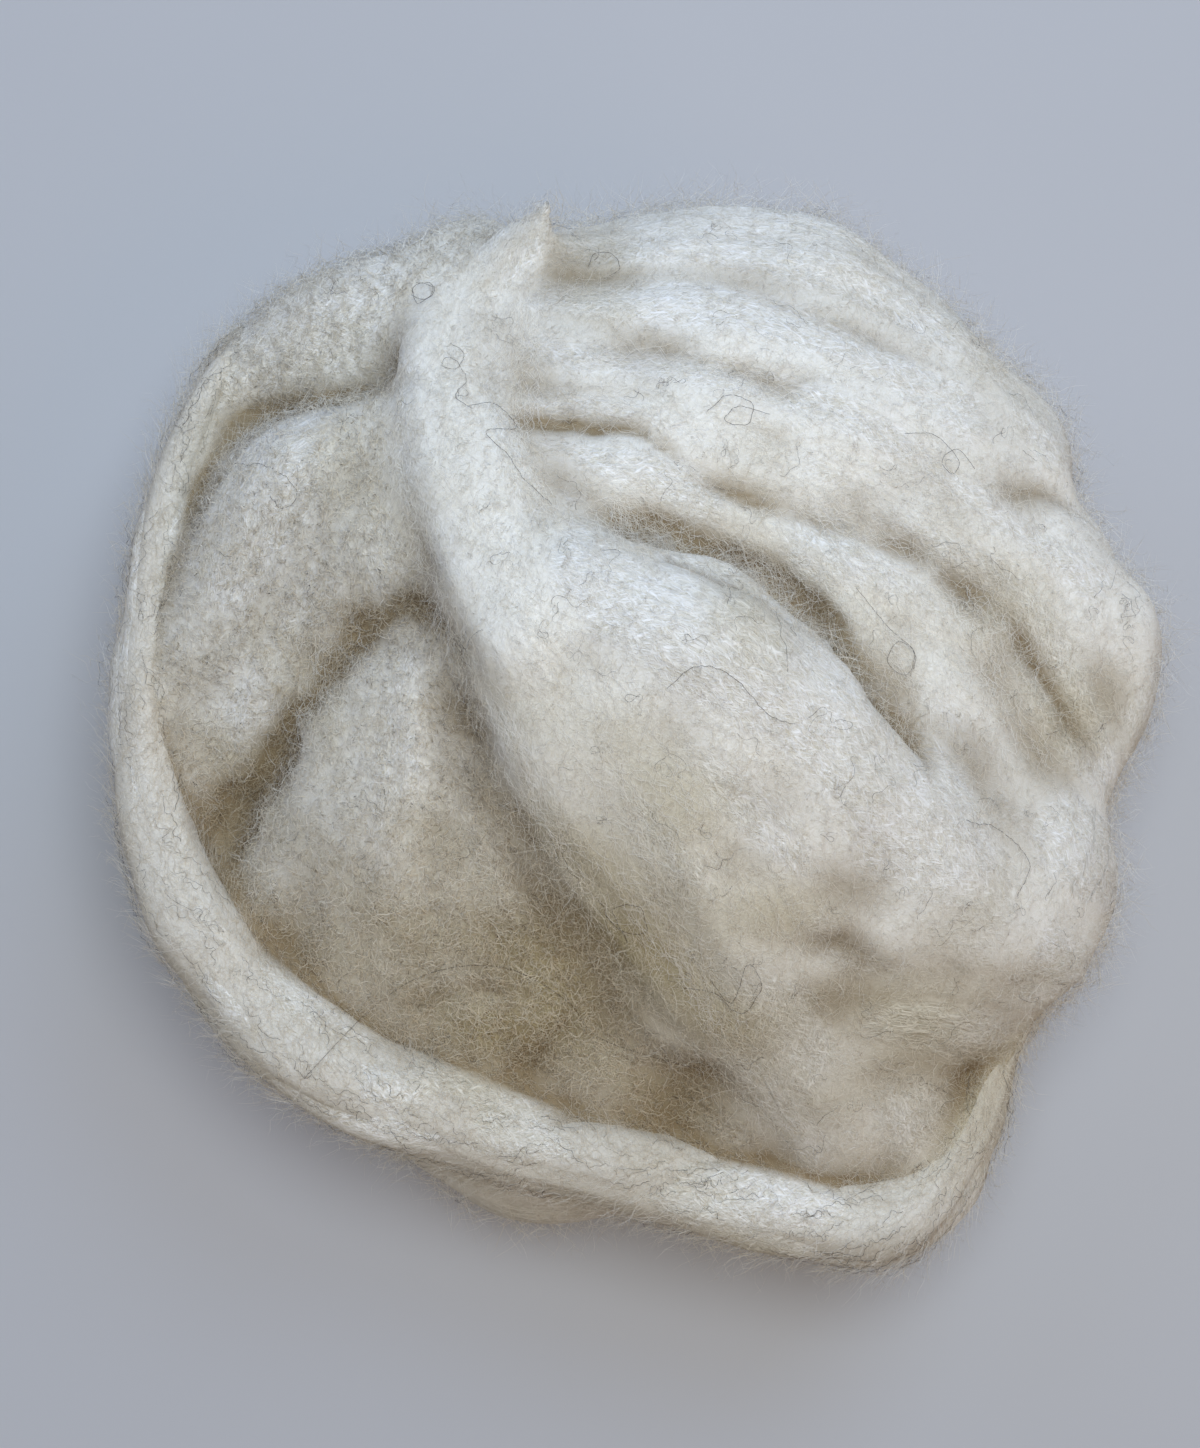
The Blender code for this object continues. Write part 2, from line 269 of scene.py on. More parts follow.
TROUGHS = (
    Trough("line on the back right fold", 1.6, 2.4, ((-6, 56), (5, 52.5), (16, 49), (26, 47.5))),
    Trough("crease before the long ridge", 2.2, 1.3, ((-19, 42), (-9, 41.5), (-0.5, 40.5), (5, 36))),
    Trough("foot of the long ridge", 2.2, 3.2, ((0, 38.5), (8, 34), (20, 29.5), (30, 27), (42, 22.5))),
    Trough("wide valley on the right", 3.2, 4.0, ((41, 22.5), (47.5, 19), (53.5, 15), (59, 7), (65, -3))),
    Trough("crease behind the crown", 4.4, 2.8,
           ((-6, 27.5), (-0.5, 26.2), (8, 23), (13, 20.8), (17.5, 18), (22, 14.5), (25.2, 10.8))),
    Trough("crease down the crown", 3.2, 1.6,
           ((18, 17.7), (22.3, 15), (26, 11.8), (30, 7.6), (33.8, 2.8), (37, -2), (41, -8))),
    Trough("line on the inner ridge", 0.7, 2.2, ((22, 20), (32, 16.5), (42.5, 10), (53, 4))),
    Trough("groove at the right edge", 1.2, 2.0, ((50, 34), (58, 33.5), (67, 32.5))),
    Trough("pit at the lower right", 1.1, 1.9, ((21, -30.5), (27, -32), (32, -34.5))),
    Trough("fold at the front", 0.7, 1.6, ((-37, -41.5), (-28.5, -39), (-19, -37.5))),
    Trough("other fold at the front", 0.8, 1.8, ((-21, -52), (-15, -46), (-11, -42.5))),
    Trough("ridge where the crossing turn ends", -0.9, 2.4, ((2.5, -12.5), (6.5, -24), (14, -38))),
    Trough("crease behind the left fold", 1.7, 1.8, ((-60, 47), (-45, 48.5), (-33, 47.5))),
    Trough("foot of the left valley", 2.6, 3.0, ((-50, -1), (-57, -8), (-63, -15), (-67, -22))),
    Trough("valley before the left fold", 2.0, 3.2,
           ((-33, 20), (-37, 16.5), (-42, 12.5), (-50, 3.5), (-54, -3), (-59, -10.5), (-63, -18))),
    Trough("crease round the top of the fan", 1.3, 1.8,
           ((-42, 11), (-37, 14.8), (-32, 15), (-27, 12), (-24, 6))),
    Trough("crease left of the crossing turn", 0.6, 2.4,
           ((-28, 15), (-25.5, 10), (-23.5, 4), (-21.5, -2), (-17.5, -10), (-12, -18), (-5, -26))),
)


class TingeAndShade(NamedTuple):
    """A place painted a deeper, yellower cream, partly the fleece's tint and partly painted shade: where,
    how far it reaches and how strong.
    """

    x: float
    y: float
    reach: float
    amount: float


# Spots painted a deeper, yellower cream on the fan, the front and the valleys: partly the fleece's tint,
# partly painted shade.
TINGE_AND_SHADE_SPOTS = (
    TingeAndShade(-16, -39, 24, 0.8),
    TingeAndShade(14, -56, 20, 0.35),
    TingeAndShade(2, -22, 20, 0.35),
    TingeAndShade(50, -50, 18, 0.5),
    TingeAndShade(61, 2, 10, 0.6),
    TingeAndShade(-50, 0, 12, 0.5),
    TingeAndShade(50, 18, 9, 0.4),
)
# The tinge's own blotches: how far apart they come, and how strong they are.
TINGE_PITCH = 17.0
TINGE_UNEVEN = 0.3


class PlacedHair(NamedTuple):
    """A dark hair that lies over the ball on its own: how crimped it is, and its line from above."""

    name: str
    crimp: float
    line: Line


PLACED_HAIRS = (
    PlacedHair("long arc", 0.04, ((-50, -51.5), (-40.5, -41.5), (-31.5, -36), (-21, -35), (-12, -39.5),
        (-7.5, -45), (0, -48), (7.5, -50))),
    PlacedHair("loop on the inner ridge", 0.08, ((29, 18.5), (33.5, 13), (37.2, 9.5), (36, 6.3), (33.3, 8),
        (35, 11), (37.4, 9), (36.5, 6))),
    PlacedHair("loop at the right", 0.08, ((36.5, 41), (41, 41), (44.5, 37.5), (43.5, 35.5), (42, 37.5),
        (44.5, 39.2), (47, 36.5))),
    PlacedHair("long squiggle", 0.15, ((-25, 43.5), (-21.5, 44), (-18.5, 40.5), (-22.5, 39.5), (-19.5, 36),
        (-17, 32.5), (-13.5, 29))),
    PlacedHair("squiggle at the back", 0.15, ((-28, 53.5), (-26, 52), (-27, 49.5), (-29, 49.8), (-28, 51.3),
        (-25.5, 48), (-27, 45), (-24.5, 43))),
    PlacedHair("loop at the back", 0.08, ((-8.5, 66.5), (-7.5, 68.7), (-5, 68.5), (-4, 66), (-6.2, 64.5))),
    PlacedHair("tangle at the back left", 0.2, ((-33.5, 64), (-31, 63.5), (-31.5, 61), (-34, 62), (-33, 64),
        (-30.5, 62.5), (-33, 60.5), (-34, 63))),
    PlacedHair("tangle at the front", 0.15, ((-7, -25), (-4.5, -29), (-0.5, -29.5), (-1.5, -26),
        (-5, -26.5), (-3, -31))),
    PlacedHair("other tangle at the front", 0.12, ((8.5, -36), (11.5, -39.5), (13.5, -34), (15.5, -37),
        (13, -41), (9, -38), (5, -37.5))),
    PlacedHair("curl on the long ridge", 0.15, ((8, 43), (11, 45.5), (14.5, 44.5), (14, 41.5), (10.5, 41.8),
        (12.5, 44), (17, 43))),
    PlacedHair("curl on the crown", 0.15, ((2, 3), (6, 6), (11, 4.5), (15, 0), (19, -1.5))),
    PlacedHair("hair on the left fold", 0.2, ((-60, 38), (-54, 36.5), (-50, 33), (-51.5, 30.5), (-54, 32))),
    PlacedHair("hair at the lower right", 0.2, ((44, -14), (50, -15.5), (54, -20), (52, -25))),
)


class Wisp(NamedTuple):
    """A loose lock of pale fibres over the surface: fibres, their length and spread, and its line."""

    name: str
    fibres: int
    length: float
    spread: float
    line: Line


WISPS = (
    Wisp("over the crease behind the crown", 90, 11, 2.2, ((-10, 33), (2, 29.5), (13, 25), (23, 18))),
    Wisp("across the crease behind the crown", 130, 8, 3.0, ((-6, 31), (-2, 26), (3, 21))),
    Wisp("across the crease, further right", 80, 8, 2.5, ((10, 29), (15, 22), (18, 15))),
    Wisp("edge of the inner ridge", 90, 11, 1.8, ((12, 27), (24, 21), (33, 11), (41, -1))),
    Wisp("on the inner ridge", 110, 13, 3.0, ((20, 29), (34, 20), (47, 8), (56, -8))),
    Wisp("over the wide valley", 90, 11, 3.0, ((12, 35), (30, 30), (46, 23), (58, 11))),
    Wisp("across the wide valley", 70, 9, 5.0, ((52, 24), (54, 15), (52, 6))),
    Wisp("across the left valley", 80, 8, 5.0, ((-50, 14), (-47, 4), (-43, -6))),
    Wisp("along the left valley", 80, 9, 2.5, ((-30, 29), (-41, 18), (-52, 6), (-62, -8))),
    Wisp("left edge of the crossing turn", 130, 13, 1.3,
         ((-35, 66), (-35.5, 50), (-34, 35), (-31, 22), (-25, 6), (-18, -9), (-8, -26))),
    Wisp("back of the crossing turn", 200, 15, 4.5,
         ((-28, 72), (-27, 55), (-26, 38), (-18, 17), (-9, 0), (2, -20), (9, -36))),
    Wisp("right edge of the crossing turn", 80, 12, 1.6, ((-18, 66), (-18, 50), (-17, 36), (-11, 20))),
    Wisp("tip of the crossing turn", 90, 11, 1.4, ((-25, 60), (-20, 69), (-14.5, 76.5))),
    Wisp("crown towards the front", 120, 13, 7.0, ((-2, 14), (8, -4), (17, -24), (24, -44))),
    Wisp("front fold's left edge", 100, 11, 2.0, ((-4, -20), (4, -33), (12, -48), (18, -58))),
    Wisp("on the long ridge", 120, 14, 4.5, ((-14, 48), (10, 46), (34, 38), (56, 24))),
)


# --- Small helpers ----------------------------------------------------------------------------


def linear(hex_colour: str) -> tuple[float, float, float, float]:
    """Turn an sRGB hex colour to Blender's linear colour.

    Args:
        hex_colour: Six hex digits, with or without a leading #.

    Returns:
        Red, green, blue and a full alpha.
    """
    digits = hex_colour.lstrip("#")
    parts = [int(digits[place:place + 2], 16) / 255 for place in (0, 2, 4)]
    red, green, blue = (
        part / 12.92 if part <= 0.04045 else ((part + 0.055) / 1.055) ** 2.4 for part in parts
    )
    return (red, green, blue, 1.0)


def add(tree: NodeTree, kind: str, inputs: dict[str | int, Any] | None = None, **settings: Any) -> Node:
    """Add a node to a tree with its settings, values and links.

    Args:
        tree: The tree that gets the node.
        kind: The node's type name.
        inputs: A value, or a socket or node to link from, for each input by name or place.
        settings: The node's own properties.

    Returns:
        The new node.
    """
    node = tree.nodes.new(kind)
    for name, value in settings.items():
        setattr(node, name, value)
    for name, value in (inputs or {}).items():
        if isinstance(value, Node):
            value = value.outputs[0]
        if isinstance(value, NodeSocket):
            tree.links.new(value, node.inputs[name])
        else:
            node.inputs[name].default_value = value
    return node


def smooth_rows(rows: Sequence[Sequence[float]], steps: int) -> np.ndarray:
    """Read rows from a smooth curve that runs through the rows given.

    Args:
        rows: The rows that the curve runs through.
        steps: How many steps lie between each two of them.

    Returns:
        The rows along the curve, the first and the last included.
    """
    table = np.array(rows, dtype=float)
    table = np.vstack([2 * table[0] - table[1], table, 2 * table[-1] - table[-2]])
    share = (np.arange(steps) / steps)[:, None]
    stretches = [
        0.5 * (
            2 * start
            + (end - before) * share
            + (2 * before - 5 * start + 4 * end - after) * share ** 2
            + (3 * start - before - 3 * end + after) * share ** 3
        )
        for before, start, end, after in zip(table, table[1:], table[2:], table[3:])
    ]
    return np.vstack(stretches + [table[-2:-1]])


def even_rows(rows: np.ndarray, step: float) -> np.ndarray:
    """Read rows at even steps of length along a line whose first three columns are its place.

    Args:
        rows: The line's rows, close together.
        step: The length between two rows of the result.

    Returns:
        The rows at those steps, with both ends of the line.
    """
    lengths = np.concatenate([[0.0], np.cumsum(np.linalg.norm(np.diff(rows[:, :3], axis=0), axis=1))])
    wanted = np.linspace(0.0, lengths[-1], max(2, round(lengths[-1] / step) + 1))
    return np.column_stack([np.interp(wanted, lengths, column) for column in rows.T])


def flat_line(line: Line, steps: int, step: float) -> np.ndarray:
    """Read a line seen from above as rows (x, y, 0) at even steps of a smooth curve through it."""
    return even_rows(smooth_rows([(*spot, 0.0) for spot in line], steps), step)


def in_row_frame(rows: np.ndarray) -> np.ndarray:
    """Shift rows in millimetres so that the part's box stands centred, and turn them to metres.

    Args:
        rows: Rows that start with x and y, in the tables' millimetres.

    Returns:
        The rows in metres, in the part's frame.
    """
    shifted = np.array(rows, dtype=float)
    shifted[:, 0] += BOX_CENTRE_SHIFT[0]
    shifted[:, 1] += BOX_CENTRE_SHIFT[1]
    return shifted * MM


# How many waves make up a set of lumps.
WAVES = 14


def lumps(places: np.ndarray, pitch: float | np.ndarray, seed: int) -> np.ndarray:
    """Give smooth uneven values, about -1 to 1, at places in space.

    Args:
        places: One row for each place, in as many columns as the space has.
        pitch: The distance over which the values rise and fall once, as one number or one a column.
        seed: The seed for the directions and starts of the waves that make them up.

    Returns:
        One value for each place.
    """
    rng = np.random.default_rng(seed)
    turns = rng.normal(size=(WAVES, places.shape[1])) / math.sqrt(places.shape[1])
    starts = rng.uniform(0.0, math.tau, WAVES)
    angles = (places / pitch) @ turns.T * math.tau + starts
    return np.sin(angles).sum(axis=1) * math.sqrt(2.0 / WAVES) / 2.0


def tinge_and_shade_at(places: np.ndarray) -> np.ndarray:
    """Give how strong the deeper, yellower cream is at places: partly the fleece's tint, partly painted
    shade.

    Args:
        places: The places, in metres.

    Returns:
        One value for each place, from 0 to 1.
    """
    spots = places / MM
    total = TINGE_UNEVEN * lumps(spots, TINGE_PITCH, Seed.TINGE)
    for x, y, reach, amount in TINGE_AND_SHADE_SPOTS:
        spans = np.hypot(spots[:, 0] - x, spots[:, 1] - y)
        total += amount * np.exp(-(spans / reach) ** 2)
    return np.clip(total, 0.0, 1.0)


# The length below which a direction counts as none.
NO_LENGTH = 1e-12


def unit(vectors: np.ndarray) -> np.ndarray:
    """Scale each row to length one."""
    return vectors / np.maximum(np.linalg.norm(vectors, axis=-1, keepdims=True), NO_LENGTH)


# --- Strands ----------------------------------------------------------------------------------

# How many steps a strand's curve takes between each two of its points, and its round ends' rings.
CURVE_STEPS = 12
DOME_DEGS = (25.0, 50.0, 70.0, 85.0)

# How far the grain swirls, in radians, and over what distance, in millimetres.
SWIRL = 0.55
SWIRL_PITCH = 11.0

# How wide each ply is, as a share of its fold, by the number of plies, and how far the outer drop.
PLY_WIDTH = {1: 1.0, 2: 0.72, 3: 0.62}
PLY_DROP = 0.06


@dataclass
class Strand:
    """A stretch of the thick strand: its middle line and its radii, in metres.

    Attributes:
        places: The middle line's points, at even steps.
        radii: The radius at each point.
        zone: The piece that its fibres belong to.
        fan: How far its fibres lie off its own line, in radians.
        closed: Whether it is a full turn.
    """

    places: np.ndarray
    radii: np.ndarray
    zone: Zone
    fan: float
    closed: bool = False

    def tangents(self) -> np.ndarray:
        """Give the direction of the middle line at each point.

        Returns:
            One unit row for each point.
        """
        if self.closed:
            return unit(np.roll(self.places, -1, axis=0) - np.roll(self.places, 1, axis=0))
        return unit(np.gradient(self.places, axis=0))

    def lengths(self) -> np.ndarray:
        """Give how far along the strand each point lies."""
        steps = np.linalg.norm(np.diff(self.places, axis=0), axis=1)
        return np.concatenate([[0.0], np.cumsum(steps)])

    def with_domes(self) -> tuple[np.ndarray, np.ndarray]:
        """Round off both ends with rings past them, unless it is a full turn.

        Returns:
            The points, and the radius at each.
        """
        if self.closed:
            return self.places, self.radii
        angles = np.radians(DOME_DEGS)
        places, radii = [self.places], [self.radii]
        for end, inner in ((0, 1), (-1, -2)):
            outwards = unit(self.places[end] - self.places[inner])
            rings = self.places[end] + np.sin(angles)[:, None] * outwards * self.radii[end]
            shrunk = np.cos(angles) * self.radii[end]
            if end == 0:
                places.insert(0, rings[::-1])
                radii.insert(0, shrunk[::-1])
            else:
                places.append(rings)
                radii.append(shrunk)
        return np.vstack(places), np.concatenate(radii)


def fold_strands(fold: Fold, zone: Zone, step: float) -> list[Strand]:
    """Make the strands of one fold, their crests at the heights given.

    Args:
        fold: The fold's row.
        zone: The stretch that it belongs to.
        step: The length between its points, in millimetres.

    Returns:
        One strand for each of its plies.
    """
    rows = even_rows(smooth_rows((fold.start, fold.middle, fold.end), CURVE_STEPS), step)
    side = unit(np.cross(np.gradient(rows[:, :3], axis=0), (0.0, 0.0, 1.0)))
    strands = []
    for place in np.linspace(-1.0, 1.0, fold.plies) if fold.plies > 1 else (0.0,):
        ply = rows.copy()
        radius = rows[:, 3] * PLY_WIDTH[fold.plies]
        ply[:, :3] += side * (place * (rows[:, 3] - radius))[:, None]
        ply[:, 2] -= radius + rows[:, 3] * PLY_DROP * place ** 2
        ply[:, 3] = radius
        ply = in_row_frame(ply)
        strands.append(Strand(ply[:, :3], ply[:, 3], zone, math.radians(fold.fan_deg)))
    return strands


def turn_strand(turn: UnderTurn, step: float) -> Strand:
    """Make the strand of one full turn low round the ball, as a tipped ring.

    Args:
        turn: The turn's row.
        step: The length between its points, in millimetres.

    Returns:
        The strand.
    """
    angles = np.linspace(0.0, math.tau, round(math.tau * turn.radius / step), endpoint=False)
    rise = turn.radius * math.tan(math.radians(turn.tip_deg))
    rows = np.column_stack([
        turn.x + turn.radius * np.cos(angles),
        turn.y + turn.radius * np.sin(angles),
        turn.height + rise * np.cos(angles - math.radians(turn.tip_towards_deg)),
        np.full(angles.size, turn.half_width),
    ])
    rows = in_row_frame(rows)
    return Strand(rows[:, :3], rows[:, 3], Zone.UNDER, math.radians(turn.fan_deg), closed=True)


# --- Finishes ---------------------------------------------------------------------------------

# A wave of a noise pattern holds a ridge and a gap, so it is two spacings long.
WAVES_PER_SPACING = 0.5

# How near the meeting of two strands a pattern starts to change, and where it has changed.
SEAM_RANGE = (0.15, 0.5)


def start_material(name: str, colour: str) -> tuple[Material, NodeTree, Node]:
    """Start a material with nodes.

    Args:
        name: The material's name.
        colour: The one colour that stands for it where nodes aren't shown.

    Returns:
        The material, its tree and its shader.
    """
    material = bpy.data.materials.new(name)
    material.use_nodes = True
    material.diffuse_color = linear(colour)
    return material, material.node_tree, material.node_tree.nodes["Principled BSDF"]


@dataclass(frozen=True)
class FeltedWool:
    """Undyed sheep's wool, scoured and combed, as the mass below the top fibres.

    The fibres scatter the light many times, so it is matt. Down in its creases, where less light
    reaches, it is painted a warmer, deeper cream as shade.

    Sizes are in millimetres.

    Attributes:
        pale: The colour of clean, well combed wool.
        deep: The colour of the gaps between the fibres: painted shade.
        tinge_and_shade: The yellower cream at the set spots, partly the fleece's tint and partly painted
            shade, and tinge_and_shade_deep in the gaps there.
        crease_shade: The colour of the painted shade down in the creases, with the range over which it comes
            and its share.
        lock_across: The spacing of the fine locks, and lock_along how far each runs.
        fibre_across: The spacing of the fibres in the pattern: real ones are about a tenth of it,
            too fine to show.
        fibre_along: How far each runs before it leaves the surface.
        lean_degs: The ways that the fibres in the pattern lie, off the strand's own line.
        mat_pitch: The pattern's size where the strands meet and the fibres lie all ways.
        shine: The specular level: dry wool has next to no gloss.
    """

    name: str
    pale: str = "#f3eee3"
    deep: str = "#d1c7ad"
    tinge_and_shade: str = "#cfc19b"
    tinge_and_shade_deep: str = "#877652"
    crease_shade: str = "#897656"
    crease_shade_range: Pair = (0.4, 0.85)
    crease_shade_share: float = 0.95
    lock_across: float = 1.5
    lock_along: float = 10.0
    lock_height: float = 0.5
    fibre_across: float = 0.26
    fibre_along: float = 1.4
    fibre_height: float = 0.13
    lean_degs: tuple[float, ...] = (-32.0, 4.0, 38.0)
    mat_pitch: float = 0.5
    shine: float = 0.2

    def material(self) -> Material:
        """Make the material: crossed fibres along the strand with painted shade in their gaps, a blotchy
        yellower cream that is partly tint and partly painted shade, painted shade in the creases, and fine
        bump.

        Returns:
            The material.
        """
        material, tree, shader = start_material(self.name, self.pale)
        comb, tinge_and_shade, crease_shade, seam = (
            add(tree, "ShaderNodeAttribute", attribute_name=name)
            for name in ("comb", "tinge_and_shade", "crease_shade", "seam")
        )
        fibres = self._fibres(tree, comb.outputs["Vector"], seam.outputs["Fac"])
        # Painted shade: the gaps between the fibres take the darker colour.
        base, tinge_and_shade_base = (
            add(tree, "ShaderNodeMix", {0: fibres, 6: linear(gap), 7: linear(top)}, data_type="RGBA")
            for gap, top in ((self.deep, self.pale), (self.tinge_and_shade_deep, self.tinge_and_shade))
        )
        # Painted shade in the creases: the deeper a place lies, the more of the shade colour it takes.
        shade = add(
            tree, "ShaderNodeMapRange",
            {"Value": crease_shade.outputs["Fac"], "From Min": self.crease_shade_range[0],
             "From Max": self.crease_shade_range[1], "To Max": self.crease_shade_share},
        )
        # Over the fibres go the set spots' yellower cream, partly the fleece's tint and partly painted
        # shade, then the painted crease shade.
        colour = base.outputs[2]
        layers = ((tinge_and_shade.outputs["Fac"], tinge_and_shade_base.outputs[2]), (shade, linear(self.crease_shade)))
        for share, over in layers:
            colour = add(
                tree, "ShaderNodeMix", {0: share, 6: colour, 7: over}, data_type="RGBA"
            ).outputs[2]
        drawn_out = add(
            tree, "ShaderNodeMapping",
            {"Vector": comb.outputs["Vector"],
             "Scale": (1.0 / self.lock_along, 1.0 / self.lock_across, 1.0)},
        )
        locks = add(
            tree, "ShaderNodeTexNoise",
            {"Vector": drawn_out, "Scale": WAVES_PER_SPACING, "Detail": 3.0, "Distortion": 0.8},
        )
        evened = add(
            tree, "ShaderNodeMapRange",
            {"Value": seam.outputs["Fac"], "From Min": SEAM_RANGE[0], "From Max": SEAM_RANGE[1],
             "To Min": 1.0, "To Max": 0.0},
        )
        raised = add(
            tree, "ShaderNodeBump",
            {"Height": locks, "Strength": evened, "Distance": self.lock_height * MM},
        )
        bump = add(
            tree, "ShaderNodeBump",
            {"Height": fibres, "Strength": 0.8, "Distance": self.fibre_height * MM,
             "Normal": raised.outputs["Normal"]},
        )
        rough = add(tree, "ShaderNodeMapRange", {"Value": fibres, "To Min": 1.0, "To Max": 0.8})
        tree.links.new(colour, shader.inputs["Base Color"])
        tree.links.new(bump.outputs["Normal"], shader.inputs["Normal"])
        tree.links.new(rough.outputs["Result"], shader.inputs["Roughness"])
        shader.inputs["Specular IOR Level"].default_value = self.shine
        return material

    def _fibres(self, tree: NodeTree, comb: NodeSocket, seam: NodeSocket) -> Node:
        """Draw fine crossed fibres, from 0 in the gaps to 1 on a fibre, matted where strands meet.

        Args:
            tree: The material's tree.
            comb: How far along the strand and how far round it, in millimetres.
            seam: From 0 on the back of a strand to 1 where two meet.

        Returns:
            The node that gives the pattern.
        """
        fibres = None
        for lean in self.lean_degs:
            turned = add(
                tree, "ShaderNodeVectorRotate", {"Vector": comb, "Angle": math.radians(lean)},
                rotation_type="Z_AXIS",
            )
            drawn_out = add(
                tree, "ShaderNodeMapping",
                {"Vector": turned, "Scale": (1.0 / self.fibre_along, 1.0 / self.fibre_across, 1.0)},
            )
            noise = add(
                tree, "ShaderNodeTexNoise",
                {"Vector": drawn_out, "Scale": WAVES_PER_SPACING, "Detail": 2.0, "Distortion": 2.4},
            )
            layer = add(tree, "ShaderNodeMapRange", {"Value": noise, "From Min": 0.4, "From Max": 0.7})
            fibres = layer if fibres is None else add(
                tree, "ShaderNodeMath", {0: fibres, 1: layer}, operation="MAXIMUM"
            )
        place = add(tree, "ShaderNodeTexCoord").outputs["Object"]
        matted = add(
            tree, "ShaderNodeTexNoise",
            {"Vector": place, "Scale": 1.0 / (self.mat_pitch * MM), "Detail": 2.0, "Distortion": 1.5},
        )
        meeting = add(
            tree, "ShaderNodeMapRange",
            {"Value": seam, "From Min": SEAM_RANGE[0], "From Max": SEAM_RANGE[1]},
        )
        return add(tree, "ShaderNodeMix", {0: meeting, 2: fibres, 3: matted}, data_type="FLOAT")


@dataclass(frozen=True)
class FibreWool:
    """Single fibres of undyed wool: keratin, clear to cream, with a scaly, silky surface.

    Each fibre has its own depth of colour, and the scales give it a broad, weak sheen. Light goes
    through it, so a fibre is bright from behind as well.

    Attributes:
        pale: The colour of the palest fibres, and deep of the deepest ones.
        tinge_and_shade: The yellower cream of the drifting blotches, a tint of the fleece, and of the set
            spots, partly that tint and partly painted shade.
        crease_shade: The colour of the painted shade down in the creases, with the range over which it comes
            and its share.
        roughness: The roughness of the palest fibres. The deepest are rougher by deep_roughness.
        blotch_pitch: The distance over which faint blotches of tinge come and go, in millimetres.
        through: The share of the light that goes through.
    """

    name: str
    pale: str = "#f7f3e8"
    deep: str = "#e0d6c1"
    tinge_and_shade: str = "#f0e5cb"
    crease_shade: str = "#c4b08a"
    crease_shade_range: Pair = (0.4, 0.95)
    crease_shade_share: float = 0.8
    roughness: float = 0.7
    deep_roughness: float = 0.25
    blotch_pitch: float = 30.0
    blotch_range: Pair = (0.55, 0.75)
    blotch_share: float = 0.5
    through: float = 0.5
    shine: float = 0.15

    def material(self) -> Material:
        """Make the material: a colour for each fibre, a drifting yellow tint, a yellower cream at the set
        spots that is partly tint and partly painted shade, and painted shade in the creases.

        Returns:
            The material.
        """
        material, tree, shader = start_material(self.name, self.pale)
        tone, tinge_and_shade, crease_shade = (
            add(tree, "ShaderNodeAttribute", attribute_name=name).outputs["Fac"]
            for name in ("tone", "tinge_and_shade", "crease_shade")
        )
        place = add(tree, "ShaderNodeTexCoord").outputs["Object"]
        blotches = add(
            tree, "ShaderNodeTexNoise",
            {"Vector": place, "Scale": 1.0 / (self.blotch_pitch * MM), "Detail": 3.0},
        )
        # The blotches are a yellow tint, the set spots are partly that tint and partly painted shade, and
        # the creases take painted shade.
        blotched, shade = (
            add(tree, "ShaderNodeMapRange",
                {"Value": value, "From Min": start, "From Max": full, "To Max": share})
            for value, (start, full), share in (
                (blotches, self.blotch_range, self.blotch_share),
                (crease_shade, self.crease_shade_range, self.crease_shade_share),
            )
        )
        amount = add(tree, "ShaderNodeMath", {0: blotched, 1: tinge_and_shade}, operation="MAXIMUM")
        colour = linear(self.deep)
        for share, over in ((tone, self.pale), (amount, self.tinge_and_shade), (shade, self.crease_shade)):
            colour = add(
                tree, "ShaderNodeMix", {0: share, 6: colour, 7: linear(over)}, data_type="RGBA"
            ).outputs[2]
        rough = add(
            tree, "ShaderNodeMapRange",
            {"Value": tone, "To Min": self.roughness + self.deep_roughness, "To Max": self.roughness},
        )
        tree.links.new(colour, shader.inputs["Base Color"])
        tree.links.new(rough.outputs["Result"], shader.inputs["Roughness"])
        shader.inputs["Specular IOR Level"].default_value = self.shine
        glow = add(tree, "ShaderNodeBsdfTranslucent", {"Color": colour})
        mixed = add(tree, "ShaderNodeMixShader", {0: self.through, 1: shader, 2: glow})
        tree.links.new(mixed.outputs["Shader"], tree.nodes["Material Output"].inputs["Surface"])
        return material


@dataclass(frozen=True)
class PlainFloor:
    """A plain painted studio floor: matt, pale and almost even."""

    name: str = "matt_pale_paint"
    light: str = "#b9b6b1"
    dark: str = "#b2afaa"
    roughness: float = 0.9
    drifts_per_metre: float = 6.0

    def material(self) -> Material:
        """Make the material: two near shades in a soft drift.

        Returns:
            The material.
        """
        material, tree, shader = start_material(self.name, self.light)
        place = add(tree, "ShaderNodeTexCoord").outputs["Object"]
        drift = add(tree, "ShaderNodeTexNoise", {"Vector": place, "Scale": self.drifts_per_metre})
        colour = add(
            tree, "ShaderNodeMix", {0: drift, 6: linear(self.dark), 7: linear(self.light)},
            data_type="RGBA",
        )
        tree.links.new(colour.outputs[2], shader.inputs["Base Color"])
        shader.inputs["Roughness"].default_value = self.roughness
        return material


# --- Geometry Nodes ---------------------------------------------------------------------------


class TreeInput(NamedTuple):
    """A named input of a Geometry Nodes tree, with its socket type."""

    name: str
    socket: str


def start_tree(name: str, inputs: Sequence[TreeInput]) -> tuple[NodeTree, Known]:
    """Start a Geometry Nodes tree that takes a geometry and some named sizes.

    Args:
        name: The tree's name.
        inputs: Its inputs after the geometry.

    Returns:
        The tree, and its input sockets by name.
    """
    tree = bpy.data.node_groups.new(name, "GeometryNodeTree")
    tree.interface.new_socket("Geometry", in_out="INPUT", socket_type="NodeSocketGeometry")
    for row in inputs:
        tree.interface.new_socket(row.name, in_out="INPUT", socket_type=row.socket)
    tree.interface.new_socket("Geometry", in_out="OUTPUT", socket_type="NodeSocketGeometry")
    source = add(tree, "NodeGroupInput")
    return tree, {socket.name: socket for socket in source.outputs if socket.name}


